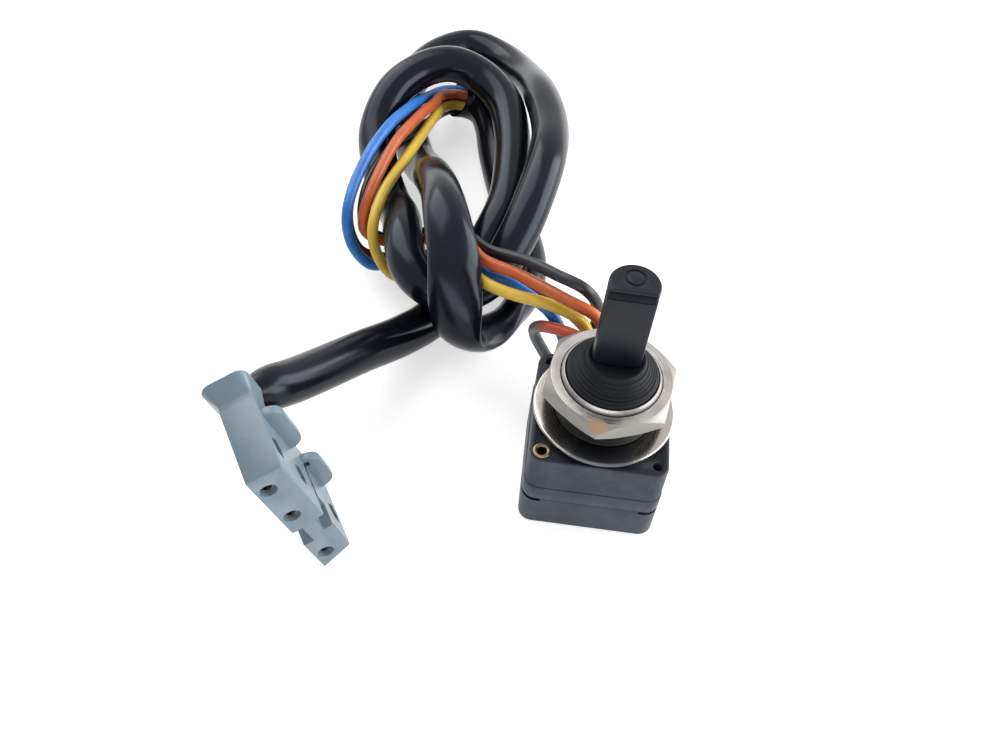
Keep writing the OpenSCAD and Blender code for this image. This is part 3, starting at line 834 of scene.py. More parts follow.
@dataclass(frozen=True)
class Extruded:
    """Extruded cable plastic: long die lines along its UV map and a smooth gloss."""

    name: str
    colour: Colour
    pale: Colour
    roughness: float
    lines: float = 26.0
    depth: float = 0.01 * MM
    specular: float = 0.5
    sheen: Colour = (0.78, 0.88, 1.0)

    def make(self) -> Material:
        """Builds the material.

        Returns:
            The finished material.
        """
        surface = Surface(self.name)
        grain = surface.effect(GRAIN, Broad=90.0, Fine=2600.0)
        stretched = surface.add("ShaderNodeMapping", {"Vector": surface.coordinate("UV"),
                                                      "Scale": (self.lines, 0.6, 1.0)}).outputs[0]
        die = surface.noise(stretched, 1.0, 4.0)
        colour = surface.blend(surface.between(grain["Broad"], 0.35, 0.72, 0.0, 0.6), self.colour, self.pale)
        rough = surface.between(grain["Broad"], 0.3, 0.7, self.roughness * 0.8, self.roughness * 1.3)
        relief = surface.maths("MULTIPLY_ADD", grain["Fine"], 0.15, die)
        surface.feed(surface.shader, {"Specular IOR Level": self.specular, "Specular Tint": self.sheen})
        return surface.close(colour, rough, relief, self.depth)


@dataclass(frozen=True)
class Line:
    """A smooth line with an untwisted frame at each of its points."""

    points: tuple[Vector, ...]
    tangents: tuple[Vector, ...]
    normals: tuple[Vector, ...]

    @classmethod
    def through(cls, route: Route, step: float = 1.2 * MM) -> "Line":
        """Runs a line through the points of a route.

        Args:
            route: the points in millimetres.
            step: the greatest distance between the line's points.

        Returns:
            The line, in metres.
        """
        knots = [Vector(knot) * MM for knot in route]
        knots = [2 * knots[0] - knots[1], *knots, 2 * knots[-1] - knots[-2]]
        points = []
        for a, b, c, d in zip(knots, knots[1:], knots[2:], knots[3:]):
            count = max(2, math.ceil((c - b).length / step))
            for i in range(count):
                t = i / count
                points.append(0.5 * (2 * b + (c - a) * t + (2 * a - 5 * b + 4 * c - d) * t * t
                                     + (3 * b - a - 3 * c + d) * t ** 3))
        points.append(knots[-2])
        last = len(points) - 1
        tangents = [(points[min(i + 1, last)] - points[max(i - 1, 0)]).normalized() for i in range(last + 1)]
        side = tangents[0].orthogonal().normalized()
        normals = []
        for tangent in tangents:
            side = (side - side.dot(tangent) * tangent).normalized()
            normals.append(side)
        return cls(tuple(points), tuple(tangents), tuple(normals))

    def inward(self, index: int, reach: int = 4) -> Vector:
        """Finds the direction in which the line bends at a point, longer for a tighter bend.

        Args:
            index: the point.
            reach: how many points on either side of it are looked at.

        Returns:
            The direction.
        """
        first = self.tangents[max(index - reach, 0)]
        last = self.tangents[min(index + reach, len(self.points) - 1)]
        turn, along = last - first, self.tangents[index]
        return turn - turn.dot(along) * along

    def spokes(self, index: int, count: int) -> list[tuple[float, Vector]]:
        """Spreads directions evenly round the line at a point.

        Args:
            index: the point.
            count: how many directions there are.

        Returns:
            Each direction's angle and the direction.
        """
        normal = self.normals[index]
        across = self.tangents[index].cross(normal)
        angles = [TURN * i / count for i in range(count)]
        return [(angle, math.cos(angle) * normal + math.sin(angle) * across) for angle in angles]


@dataclass(frozen=True)
class Dent:
    """A stretch where the sleeve is pressed flat by its bend, in millimetres along it."""

    start: float
    end: float
    amount: float
    fade: float

    def depth(self, along: float) -> float:
        """Finds how flat the sleeve is.

        Args:
            along: the distance along it in metres.

        Returns:
            The flatness, from 0 for round.
        """
        inside = min(along / MM - self.start, self.end - along / MM) / self.fade + 0.5
        share = max(0.0, min(1.0, inside))
        return self.amount * share * share * (3 - 2 * share)


@dataclass(frozen=True)
class Wire:
    """One insulated wire of the lead."""

    colour: str
    route: Route
    finish: Material
    slot: str
    length: float
    inside: Route = ()
    diameter: float = 2.6 * MM

    def build(self) -> Solid:
        """Returns:
            The wire.
        """
        line = Line.through((*self.route, *self.inside))
        deselect_all()
        bpy.ops.curve.primitive_nurbs_path_add()
        piece = fresh(f"{self.colour}_wire_cord")
        curve = piece.data
        curve.splines.clear()
        spline = curve.splines.new("POLY")
        spline.points.add(len(line.points) - 1)
        for knot, point in zip(spline.points, line.points):
            knot.co = (*point, 1.0)
        curve.dimensions = "3D"
        curve.twist_mode = "MINIMUM"
        curve.bevel_depth = self.diameter / 2
        curve.bevel_resolution = 5
        curve.use_fill_caps = True
        spline.use_smooth = True
        dress(piece, self.finish, Body.HOUSING, f"{self.colour}_wire")
        return piece


@dataclass
class Sleeve:
    """Soft, glossy cable sleeve: a thin tube that flattens and wrinkles where it bends.

    Where it is flat, its section grows wider by flat_spread and squarer by flat_power. The wrinkles have a
    height in millimetres for a round bend and a further one for a flat bend.
    """

    route: Route
    finish: Material
    dent: Dent
    with_pieces: list[Solid]
    diameter: float = 9.2 * MM
    wall: float = 0.5 * MM
    sides: int = 40
    length: float = 0.607
    mouth_depth: float = 8 * MM
    oblique: float = 0.55
    oblique_reach: float = 7 * MM
    mouth_lean: Point = (0, -0.6, 0.8)
    end_taper: float = 0.16
    end_reach: float = 5 * MM
    past_end: float = 3 * MM
    flat_spread: float = 0.7
    flat_power: float = 0.35
    straight: float = 1e-4
    tight_bend: float = 0.9
    wrinkles: tuple[float, float] = (0.03, 0.30)
    long_wrinkle: float = 4.6 * MM
    short_wrinkle: float = 2.9 * MM
    swell: float = 0.06 * MM
    swell_waves: tuple[float, float] = (17 * MM, 7 * MM)
    line: Line = field(init=False)
    bends: list[Vector] = field(init=False)

    def __post_init__(self) -> None:
        """Runs the sleeve's middle line through its route and evens out the direction of its bends."""
        self.line = Line.through(self.route)
        raw = [self.line.inward(index) for index in range(len(self.line.points))]
        self.bends = []
        for index, along in enumerate(self.line.tangents):
            near = raw[max(index - 8, 0):index + 9]
            mean = sum(near, Vector()) / len(near)
            self.bends.append(mean - mean.dot(along) * along)

    def lean(self, along: float, radius: float, out: Vector) -> float:
        """Returns how far the skin moves along the sleeve, because its mouth is cut obliquely."""
        share = max(0.0, 1 - along / self.oblique_reach) * self.oblique
        return share * radius * out.dot(Vector(self.mouth_lean))

    def ring(self, index: int, along: float) -> list[Vector]:
        """Makes one ring of the sleeve's skin.

        Args:
            index: the point of the line that it lies round.
            along: the distance from the mouth.

        Returns:
            The ring's points.
        """
        turn, flat = self.bends[index], self.dent.depth(along)
        inward, bend = turn.normalized(), min(1.0, turn.length / self.tight_bend)
        tuck = max(0.0, 1 - (self.length + self.past_end - along) / self.end_reach)
        radius = self.diameter / 2 * (1 - self.end_taper * tuck * tuck)
        wrinkle = bend * (self.wrinkles[0] + self.wrinkles[1] * flat) * MM / 2
        slow, quick = self.swell_waves
        spots = []
        for angle, out in self.line.spokes(index, self.sides):
            if turn.length > self.straight:
                toward = out.dot(inward)
                squarer = math.copysign(abs(toward) ** (1 + self.flat_power * flat), toward)
                spot = inward * (radius * (1 - flat) * squarer)
                spot += (out - toward * inward) * radius * (1 + self.flat_spread * flat)
                ripple = 1 + math.sin(TURN * along / self.long_wrinkle)
                ripple += 0.6 * math.sin(TURN * along / self.short_wrinkle + angle)
                spot -= out * max(0.0, toward) * wrinkle * ripple
            else:
                spot = out * radius
            spot += self.line.tangents[index] * self.lean(along, radius, out)
            swell = self.swell * math.sin(along / slow + angle) * math.sin(along / quick)
            spots.append(self.line.points[index] + spot + out * swell)
        return spots

    def mouth(self) -> list[list[Vector]]:
        """Makes the rings of the open mouth, from its dark bottom to its lip.

        Returns:
            The points of each ring.
        """
        points, tangent = self.line.points, self.line.tangents[0]
        rings = []
        for depth, narrower in ((self.mouth_depth, self.wall), (MM, self.wall), (0.05 * MM, self.wall * 0.8),
                                (-0.1 * MM, self.wall * 0.35)):
            middle = points[0] + tangent * depth
            if depth > 0.5 * MM:
                middle = min(points[:len(points) // 8],
                             key=lambda spot: abs((spot - points[0]).length - depth))
            radius = self.diameter / 2 - narrower
            rings.append([middle + out * radius + tangent * self.lean(depth, radius, out)
                          for _, out in self.line.spokes(0, self.sides)])
        return rings

    def unwrap(self, work: bmesh.types.BMesh, rings: list[list[bmesh.types.BMVert]]) -> None:
        """Lays a UV map on the sleeve: u once round it and v in centimetres along it.

        Args:
            work: the sleeve's mesh.
            rings: its rings of vertices, in order.
        """
        layer = work.loops.layers.uv.new("UVMap")
        place = {vert: (i, j) for j, ring in enumerate(rings) for i, vert in enumerate(ring)}
        step = self.length / len(rings) * 100
        for face in work.faces:
            columns = [place[loop.vert][0] for loop in face.loops]
            seam = max(columns) - min(columns) > self.sides // 2
            for loop in face.loops:
                i, j = place[loop.vert]
                loop[layer].uv = ((i + self.sides * (seam and i == 0)) / self.sides, j * step)

    def build(self) -> Solid:
        """Returns:
            The sleeve.
        """
        deselect_all()
        bpy.ops.mesh.primitive_circle_add(vertices=self.sides, radius=self.diameter / 2)
        piece = fresh("cable_sleeve_tube")
        rings = self.mouth()
        along, before = 0.0, self.line.points[0]
        for index, point in enumerate(self.line.points):
            along += (point - before).length
            before = point
            rings.append(self.ring(index, along))
        work = bmesh.new()
        skin = [[work.verts.new(spot) for spot in ring] for ring in rings]
        for low, high in zip(skin, skin[1:]):
            for i in range(self.sides):
                j = (i + 1) % self.sides
                work.faces.new((low[i], low[j], high[j], high[i]))
        work.faces.new(list(reversed(skin[0])))
        work.faces.new(skin[-1])
        self.unwrap(work, skin)
        work.to_mesh(piece.data)
        work.free()
        shape(piece, Kind.FACE, every, TURN_OUTWARDS)
        smooth(piece, 60.0)
        dress(piece, self.finish, Body.HOUSING, "cable_sleeve")
        return piece


@dataclass
class Lead:
    """The sleeve, its five insulated wires and the short link wire."""

    wires: Sequence[Wire]
    sleeve: Sleeve

    def build(self) -> list[Solid]:
        """Builds all cords of the lead and returns them."""
        return [*(wire.build() for wire in self.wires), self.sleeve.build()]


@dataclass
class Housing:
    """Square two-part housing: a base cover with a narrower shell above its proud rim."""

    plastic: Material
    brass: Material
    side: float = 28 * MM
    corner: float = 3 * MM
    part_line: float = 8.7 * MM
    rim_top: float = 12.6 * MM
    top: float = 21.7 * MM
    step: float = 0.2 * MM
    wall: float = 2 * MM
    deck: float = 2 * MM
    hole_at: float = 11.4 * MM
    hole: float = 1 * MM
    eyelet_hole: float = 1.4 * MM
    sink: float = 1.85 * MM
    sink_depth: float = 0.4 * MM
    post: float = 2.5 * MM
    spigot: float = 8.55 * MM
    corner_gap: float = 0.85 * MM
    notch: tuple[float, float] = (10 * MM, 15 * MM)
    rib: float = 2.4 * MM
    rib_half: float = 3 * MM
    bearing: float = 1.5 * MM
    bearing_z: float = 7 * MM
    window_half: float = 9.4 * MM
    window_top: float = 12 * MM
    top_round: float = 0.5 * MM
    rim_round: float = 0.08 * MM
    seam_round: float = 0.14 * MM
    foot_round: float = 0.6 * MM
    hole_round: float = 0.12 * MM
    roll: float = 0.175 * MM
    roll_at: float = 1.575 * MM

    def corners(self) -> Outline:
        """Returns the middles of the four corner holes, that of the eyelet first."""
        return [(x * self.hole_at, y * self.hole_at) for x in (-1, 1) for y in (-1, 1)]

    def inner(self) -> float:
        """Returns half the width of the space inside."""
        return self.side / 2 - self.step - self.wall

    def hollow(self, low: float, high: float) -> Solid:
        """Makes the space inside, which leaves the corner posts standing.

        Args:
            low: its lowest height.
            high: its highest height.

        Returns:
            The space, as a solid.
        """
        space = rounded_block("hollow", self.inner(), low, high, self.corner - MM)
        for x, y in self.corners():
            meet(space, rod("post", self.post, (x, y, low - MM), high - low + 2 * MM))
        return space

    def drill(self, piece: Solid, low: float, high: float) -> None:
        """Drills the four corner holes, the one for the eyelet wider than the others.

        Args:
            piece: the piece to drill.
            low: where the drill starts.
            high: where it ends.
        """
        for index, (x, y) in enumerate(self.corners()):
            radius = self.hole if index else self.eyelet_hole
            meet(piece, rod("drill", radius, (x, y, low), high - low, sides=32))

    def build_upper(self) -> Solid:
        """Models the upper shell with its rim, roof opening and corner holes.

        Returns:
            The shell.
        """
        piece = rounded_block("upper_housing_shell", self.side / 2, self.part_line, self.rim_top, self.corner)
        shape(piece, Kind.FACE, facing(z=1), inset(self.step), extrude(z=self.top - self.rim_top))
        shape(piece, Kind.EDGE, level(2, self.top), bevel(self.top_round, 4))
        shape(piece, Kind.EDGE, level(2, self.rim_top), bevel(self.rim_round, 2))
        shape(piece, Kind.EDGE, level(2, self.part_line), bevel(self.seam_round, 2))
        meet(piece, self.hollow(self.part_line - MM, self.top - self.deck))
        meet(piece, rod("opening", self.spigot, (0, 0, self.top - self.deck - MM), 4 * MM, sides=96))
        self.drill(piece, self.part_line - MM, self.top + MM)
        mouths = on_mouth(2, self.top, self.corners(), self.eyelet_hole + 0.1 * MM)
        shape(piece, Kind.EDGE, mouths, bevel(self.hole_round, 2))
        smooth(piece)
        return dress(piece, self.plastic, Body.HOUSING, "upper_housing")

    def build_base(self) -> Solid:
        """Models the base cover with its bearing ribs, gland window and dark corner gaps.

        Returns:
            The cover.
        """
        piece = rounded_block("base_cover_shell", self.side / 2, 0, self.part_line, self.corner)
        shape(piece, Kind.EDGE, level(2, 0), bevel(self.foot_round, 4))
        shape(piece, Kind.EDGE, level(2, self.part_line), bevel(self.seam_round, 2))
        meet(piece, self.hollow(self.deck, self.part_line + MM))
        inner, sunk = self.inner(), 0.2 * MM
        for low, high in ((-inner - sunk, -inner + self.rib), (inner - self.rib, inner + sunk)):
            rib = block("rib", (low, -self.rib_half, self.deck - sunk),
                        (high, self.rib_half, self.part_line - 0.1 * MM))
            meet(piece, rib, Cut.ADD)
        start = (0.1 * MM - inner, 0, self.bearing_z)
        meet(piece, rod("bore", self.bearing, start, 2 * inner - 0.2 * MM, Axis.X))
        for corner in self.corners():
            low, high = zip(*(sorted(math.copysign(far, side) for far in self.notch) for side in corner))
            notch = block("notch", (*low, self.part_line - self.corner_gap), (*high, self.part_line + MM))
            meet(piece, notch)
        meet(piece, block("window", (-self.window_half, inner - MM, self.deck),
                          (self.window_half, inner + 4 * MM, self.window_top)))
        self.drill(piece, -MM, self.part_line + MM)
        meet(piece, rod("sink", self.sink, (*self.corners()[0], -MM), MM + self.sink_depth))
        smooth(piece)
        return dress(piece, self.plastic, Body.HOUSING, "base_cover")

    def build_eyelet(self) -> Solid:
        """Turns the hollow rivet with a rolled flange at each end.

        Returns:
            The eyelet.
        """
        shank, throat, bore, top = 1.35 * MM, 1.02 * MM, 0.95 * MM, self.top
        low = arc(self.roll_at, 0.05 * MM + self.roll, self.roll, -90, 90)
        high = arc(self.roll_at, top + self.roll, self.roll, -90, 90)
        mouth = [(1.2 * MM, top + 0.34 * MM), (throat, top + 0.25 * MM), (bore, top)]
        foot = [(bore, 0.4 * MM), (throat, 0.15 * MM), (1.2 * MM, 0.06 * MM)]
        outline = [*low, (shank, 0.45 * MM), (shank, top), *high, *mouth, *foot]
        piece = turned("eyelet_rivet", outline, 48)
        piece.location = (*self.corners()[0], 0)
        smooth(settle(piece), 50)
        return dress(piece, self.brass, Body.HOUSING, "eyelet")

    def build(self) -> list[Solid]:
        """Builds the housing's pieces and returns them."""
        return [self.build_upper(), self.build_base(), self.build_eyelet()]


@dataclass
class Bushing:
    """Threaded bushing with the washer and the hex nut on it."""

    plating: Material
    washer_plating: Material
    nut_plating: Material
    seat: float = 21.7 * MM
    flange: float = 12 * MM
    flange_top: float = 22.9 * MM
    washer_top: float = 23.9 * MM
    nut_low: float = 29.9 * MM
    nut_high: float = 33.7 * MM
    end: float = 34.7 * MM
    thread: float = 10 * MM
    core: float = 9.4 * MM
    pitch: float = 1 * MM
    turns: int = 10
    turn_steps: int = 72
    crest: float = 0.07 * MM
    sunk: float = 0.1 * MM
    run_out: float = 0.3
    plain_end: float = 9.92 * MM
    plain_low: float = 1.3 * MM
    plain_high: float = 0.85 * MM
    lip: float = 9.32 * MM
    lip_round: float = 0.12 * MM
    rebate: float = 9.05 * MM
    rebate_depth: float = 1.2 * MM
    spigot_depth: float = 2 * MM
    flange_round: float = 0.2 * MM
    spigot: float = 8.5 * MM
    bore: float = 7.2 * MM
    washer: float = 14.2 * MM
    washer_round: float = 0.32 * MM
    washer_edge: float = 0.1 * MM
    play: float = 0.05 * MM
    across_flats: float = 24 * MM
    nut_turn: float = 20.9
    nut_reach: float = 14 * MM
    lower_chamfer: float = 30.0
    upper_chamfer: float = 40.0
    nut_round: float = 0.16 * MM

    def ridge(self) -> Solid:
        """Winds a thread ridge with the Screw modifier and lets its end run out into the core.

        Returns:
            The ridge.
        """
        deselect_all()
        bpy.ops.mesh.primitive_circle_add(vertices=4, radius=MM)
        piece = fresh("ridge")
        half = self.pitch / 2
        low, deep = self.flange_top + half, self.core - self.sunk
        section = ((deep, low - half), (self.thread, low - self.crest), (self.thread, low + self.crest),
                   (deep, low + half))
        for vert, (r, z) in zip(piece.data.vertices, section):
            vert.co = (r, 0, z)
        modify(piece, "SCREW", axis="Z", screw_offset=self.pitch, iterations=self.turns,
               steps=self.turn_steps, render_steps=self.turn_steps, use_normal_calculate=True)
        for vert in piece.data.vertices:
            far = math.hypot(vert.co.x, vert.co.y)
            left = (low + self.pitch * self.turns - vert.co.z) / (self.run_out * self.pitch)
            keep = deep + (far - deep) * max(0.0, min(1.0, left))
            vert.co.x *= keep / far
            vert.co.y *= keep / far
        return piece

    def build_bushing(self) -> Solid:
        """Turns the bushing's core and winds the thread ridge round it.

        Returns:
            The bushing.
        """
        foot, end, bottom = self.seat - self.spigot_depth, self.end, self.end - self.rebate_depth
        low, high = end - self.plain_low, end - self.plain_high
        outline = [(self.bore, foot), (self.spigot, foot), (self.spigot, self.seat),
                   (self.flange, self.seat),
                   *arc(self.flange - self.flange_round, self.flange_top - self.flange_round,
                        self.flange_round, 0, 90, 3),
                   (self.core, self.flange_top), (self.core, low - 0.3 * MM),
                   (self.plain_end, low), (self.plain_end, high), (self.lip + 0.18 * MM, end - 0.2 * MM),
                   *arc(self.lip, end - self.lip_round, self.lip_round, 60, 180, 4),
                   (self.rebate, bottom), (self.bore, bottom)]
        piece = turned("bushing_body", outline, 128)
        join(piece, self.ridge())
        smooth(piece, 40)
        return dress(piece, self.plating, Body.HOUSING, "bushing")

    def build_washer(self) -> Solid:
        """Turns the wide washer with its rounded rim.

        Returns:
            The washer.
        """
        low, high, near = self.flange_top, self.washer_top, self.thread + self.play
        edge, inner_edge = self.washer_round, self.washer_edge
        outline = [*arc(self.washer - edge, low + edge, edge, -90, 0, 4),
                   *arc(self.washer - edge, high - edge, edge, 0, 90, 4),
                   *arc(near + inner_edge, high - inner_edge, inner_edge, 90, 180, 2), (near, low)]
        piece = turned("washer_disc", outline, 128)
        smooth(piece, 40)
        return dress(piece, self.washer_plating, Body.HOUSING, "washer")

    def build_nut(self) -> Solid:
        """Shapes the nut from a six-sided cylinder, chamfers its corners and cuts its bore.

        Returns:
            The nut.
        """
        deselect_all()
        low, high, half, reach = self.nut_low, self.nut_high, self.across_flats / 2, self.nut_reach
        bpy.ops.mesh.primitive_cylinder_add(vertices=6, radius=half / math.cos(math.pi / 6), depth=high - low,
                                            location=(0, 0, (low + high) / 2),
                                            rotation=(0, 0, math.radians(self.nut_turn + 30)))
        piece = settle(fresh("hex_nut_body"))
        rise = (reach - half) * math.tan(math.radians(self.lower_chamfer))
        fall = (reach - half) * math.tan(math.radians(self.upper_chamfer))
        cone = turned("chamfer", [(0, low), (half, low), (reach, low + rise), (reach, high - fall),
                                  (half - 0.1 * MM, high), (0, high)])
        meet(piece, cone, Cut.COMMON)
        near = self.thread + self.play
        bore = turned("bore", [(0, low - MM), (near + 1.5 * MM, low - MM), (near, low + 0.5 * MM),
                               (near, high - 0.15 * MM), (near + 0.3 * MM, high + MM), (0, high + MM)])
        meet(piece, bore)
        soften(piece, self.nut_round, 3, 25)
        smooth(piece, 30)
        return dress(piece, self.nut_plating, Body.HOUSING, "hex_nut")

    def build(self) -> list[Solid]:
        """Builds the bushing, the washer and the nut and returns them."""
        return [self.build_bushing(), self.build_washer(), self.build_nut()]


@dataclass
class Boot:
    """Rubber boot: ringed folds that rise to a collar round the D-shaped lever."""

    rubber: Material
    low: float = 33.55 * MM
    base: float = 35.2 * MM
    top: float = 39.6 * MM
    foot: float = 9 * MM
    hole: float = 4.88 * MM
    flat: float = -1.84 * MM
    sag: float = 0.75 * MM
    foot_round: float = 0.35 * MM
    folds: int = 5
    first_fold: tuple[float, float] = (0.62 * MM, 0.34 * MM)
    fold_step: float = 0.52 * MM
    fold_rise: float = 0.04 * MM
    fold_radius: float = 0.24 * MM
    lip: tuple[float, float] = (5.5 * MM, 0.42 * MM)
    lip_round: float = 0.38 * MM

    def outline(self) -> Outline:
        """Draws the boot's section: foot, folds, concave neck, collar and the inside.

        Returns:
            The points as (distance, height).
        """
        points = [(self.foot - 1.7 * MM, self.low), (self.foot, self.low),
                  *arc(self.foot - self.foot_round, self.base - self.foot_round, self.foot_round, 0, 80, 3)]
        for i in range(self.folds):
            r = self.foot - self.first_fold[0] - self.fold_step * i
            z = self.base + self.first_fold[1] + self.fold_step * i + self.fold_rise * i * i
            points += [(r + 0.10 * MM, z - 0.22 * MM), *arc(r - 0.06 * MM, z, self.fold_radius, -40, 115, 5)]
        neck = ((6.62, 1.75), (6.2, 1.25), (5.95, 0.8))
        points += [(r * MM, self.top - down * MM) for r, down in neck]
        points += arc(self.lip[0], self.top - self.lip[1], self.lip_round, 5, 95, 5)
        inside = ((0.28, 0.1), (0.02, 0.24), (0.0, 0.7), (0.0, 1.8))
        points += [(self.hole + out * MM, self.top - down * MM) for out, down in inside]
        return [*points, (self.foot - 1.75 * MM, self.base + 0.3 * MM)]

    def close_front(self, piece: Solid) -> None:
        """Draws the opening's front down and in to the lever's flat, in a hollow curve.

        Args:
            piece: the boot.
        """
        for vert in piece.data.vertices:
            far = math.hypot(vert.co.x, vert.co.y)
            inside = far < self.hole + 0.34 * MM and vert.co.z > self.top - 1.9 * MM
            if inside and vert.co.y < self.flat:
                share = 1.0 if far < self.hole + 0.1 * MM else 0.45
                front = (self.flat - vert.co.y) / (self.hole + self.flat)
                vert.co.y += (self.flat - vert.co.y) * share
                vert.co.z -= front * share * self.sag

    def build(self) -> list[Solid]:
        """Spins the section and closes the opening to the lever's flat front.

        Returns:
            The boot, as the only piece.
        """
        piece = turned("rubber_boot_folds", self.outline(), 96)
        self.close_front(piece)
        smooth(piece, 70)
        dress(piece, self.rubber, None, "rubber_boot")
        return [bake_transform(piece)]


@dataclass
class Lever:
    """Moulded lever of D section with a separate cap."""

    plastic: Material
    radius: float = 4.8 * MM
    flat: float = -1.75 * MM
    low: float = 35.2 * MM
    neck: float = 56.7 * MM
    neck_step: float = 0.2 * MM
    neck_flat: float = -0.15 * MM
    cap_low: float = 58.2 * MM
    top: float = 59.8 * MM
    cap_flat: float = -2.25 * MM
    cap_slant: float = 1.25 * MM
    cap_round: float = 0.35 * MM
    facet: float = 1.25 * MM
    ring: float = 1.8 * MM
    ring_back: float = 1.4 * MM
    ring_depth: float = 0.3 * MM
    ring_bottom: float = 0.2 * MM
    ring_mouth: float = 0.55 * MM
    core: float = 2 * MM
    core_below: float = 8 * MM
    edge: float = 0.07 * MM
    cap_edge: float = 0.05 * MM

    def d_rod(self, name: str, low: float, high: float, flat: float) -> Solid:
        """Makes a round rod with a flat front.

        Args:
            name: the piece's name.
            low: its lowest height.
            high: its highest height.
            flat: where its flat front lies.

        Returns:
            The new object.
        """
        piece = rod(name, self.radius, (0, 0, low), high - low, sides=128)
        meet(piece, block("front", (-8 * MM, -8 * MM, low - MM), (8 * MM, flat, high + MM)))
        return piece

    def beside_flat(self, edge: Edge) -> bool:
        """Tells whether an edge runs up one side of the lever's flat front.

        Args:
            edge: the edge.

        Returns:
            True where it does.
        """
        spot = edge.verts[0].co
        side = math.sqrt(self.radius ** 2 - self.flat ** 2)
        return upright(edge) and abs(abs(spot.x) - side) < 5 * NEAR and abs(spot.y - self.flat) < 5 * NEAR

    def build_lever(self) -> Solid:
        """Models the lever with a narrow facet at each edge of its front and a neck under the cap.

        Returns:
            The lever.
        """
        piece = self.d_rod("lever_handle", self.low, self.neck, self.flat)
        shape(piece, Kind.EDGE, self.beside_flat, bevel(self.facet, 3))
        shape(piece, Kind.FACE, facing(z=1), inset(self.neck_step), extrude(z=self.cap_low - self.neck))
        for vert in piece.data.vertices:
            if vert.co.z > self.neck + 0.1 * MM:
                vert.co.y = max(vert.co.y, self.neck_flat)
        depth = self.top - self.core_below - self.low + MM
        meet(piece, rod("core_hole", self.core, (0, MM, self.low - MM), depth))
        soften(piece, self.edge, 2, 30)
        smooth(piece, 25)
        return dress(piece, self.plastic, Body.LEVER, "lever")

    def build_cap(self) -> Solid:
        """Models the cap with its rounded top edge and the ring mark.

        Returns:
            The cap.
        """
        piece = self.d_rod("lever_cap_disc", self.cap_low, self.top, self.cap_flat)
        shape(piece, Kind.EDGE, level(2, self.top), bevel(self.cap_round, 4))
        for vert in piece.data.vertices:
            if vert.co.z < self.cap_low + 0.1 * MM and vert.co.y < self.cap_flat + 0.1 * MM:
                vert.co.y = self.cap_flat + self.cap_slant
        bottom, above = self.top - self.ring_depth, self.top + MM
        narrow, wide = self.ring_bottom, self.ring_mouth
        groove = turned("groove", [(self.ring - narrow, bottom), (self.ring + narrow, bottom),
                                   (self.ring + wide, above), (self.ring - wide, above)], 64)
        groove.location = (0, self.ring_back, 0)
        meet(piece, settle(groove))
        soften(piece, self.cap_edge, 2, 40)
        smooth(piece, 28)
        return dress(piece, self.plastic, Body.LEVER, "lever_cap")

    def build(self) -> list[Solid]:
        """Builds the lever and its cap and returns them."""
        return [self.build_lever(), self.build_cap()]


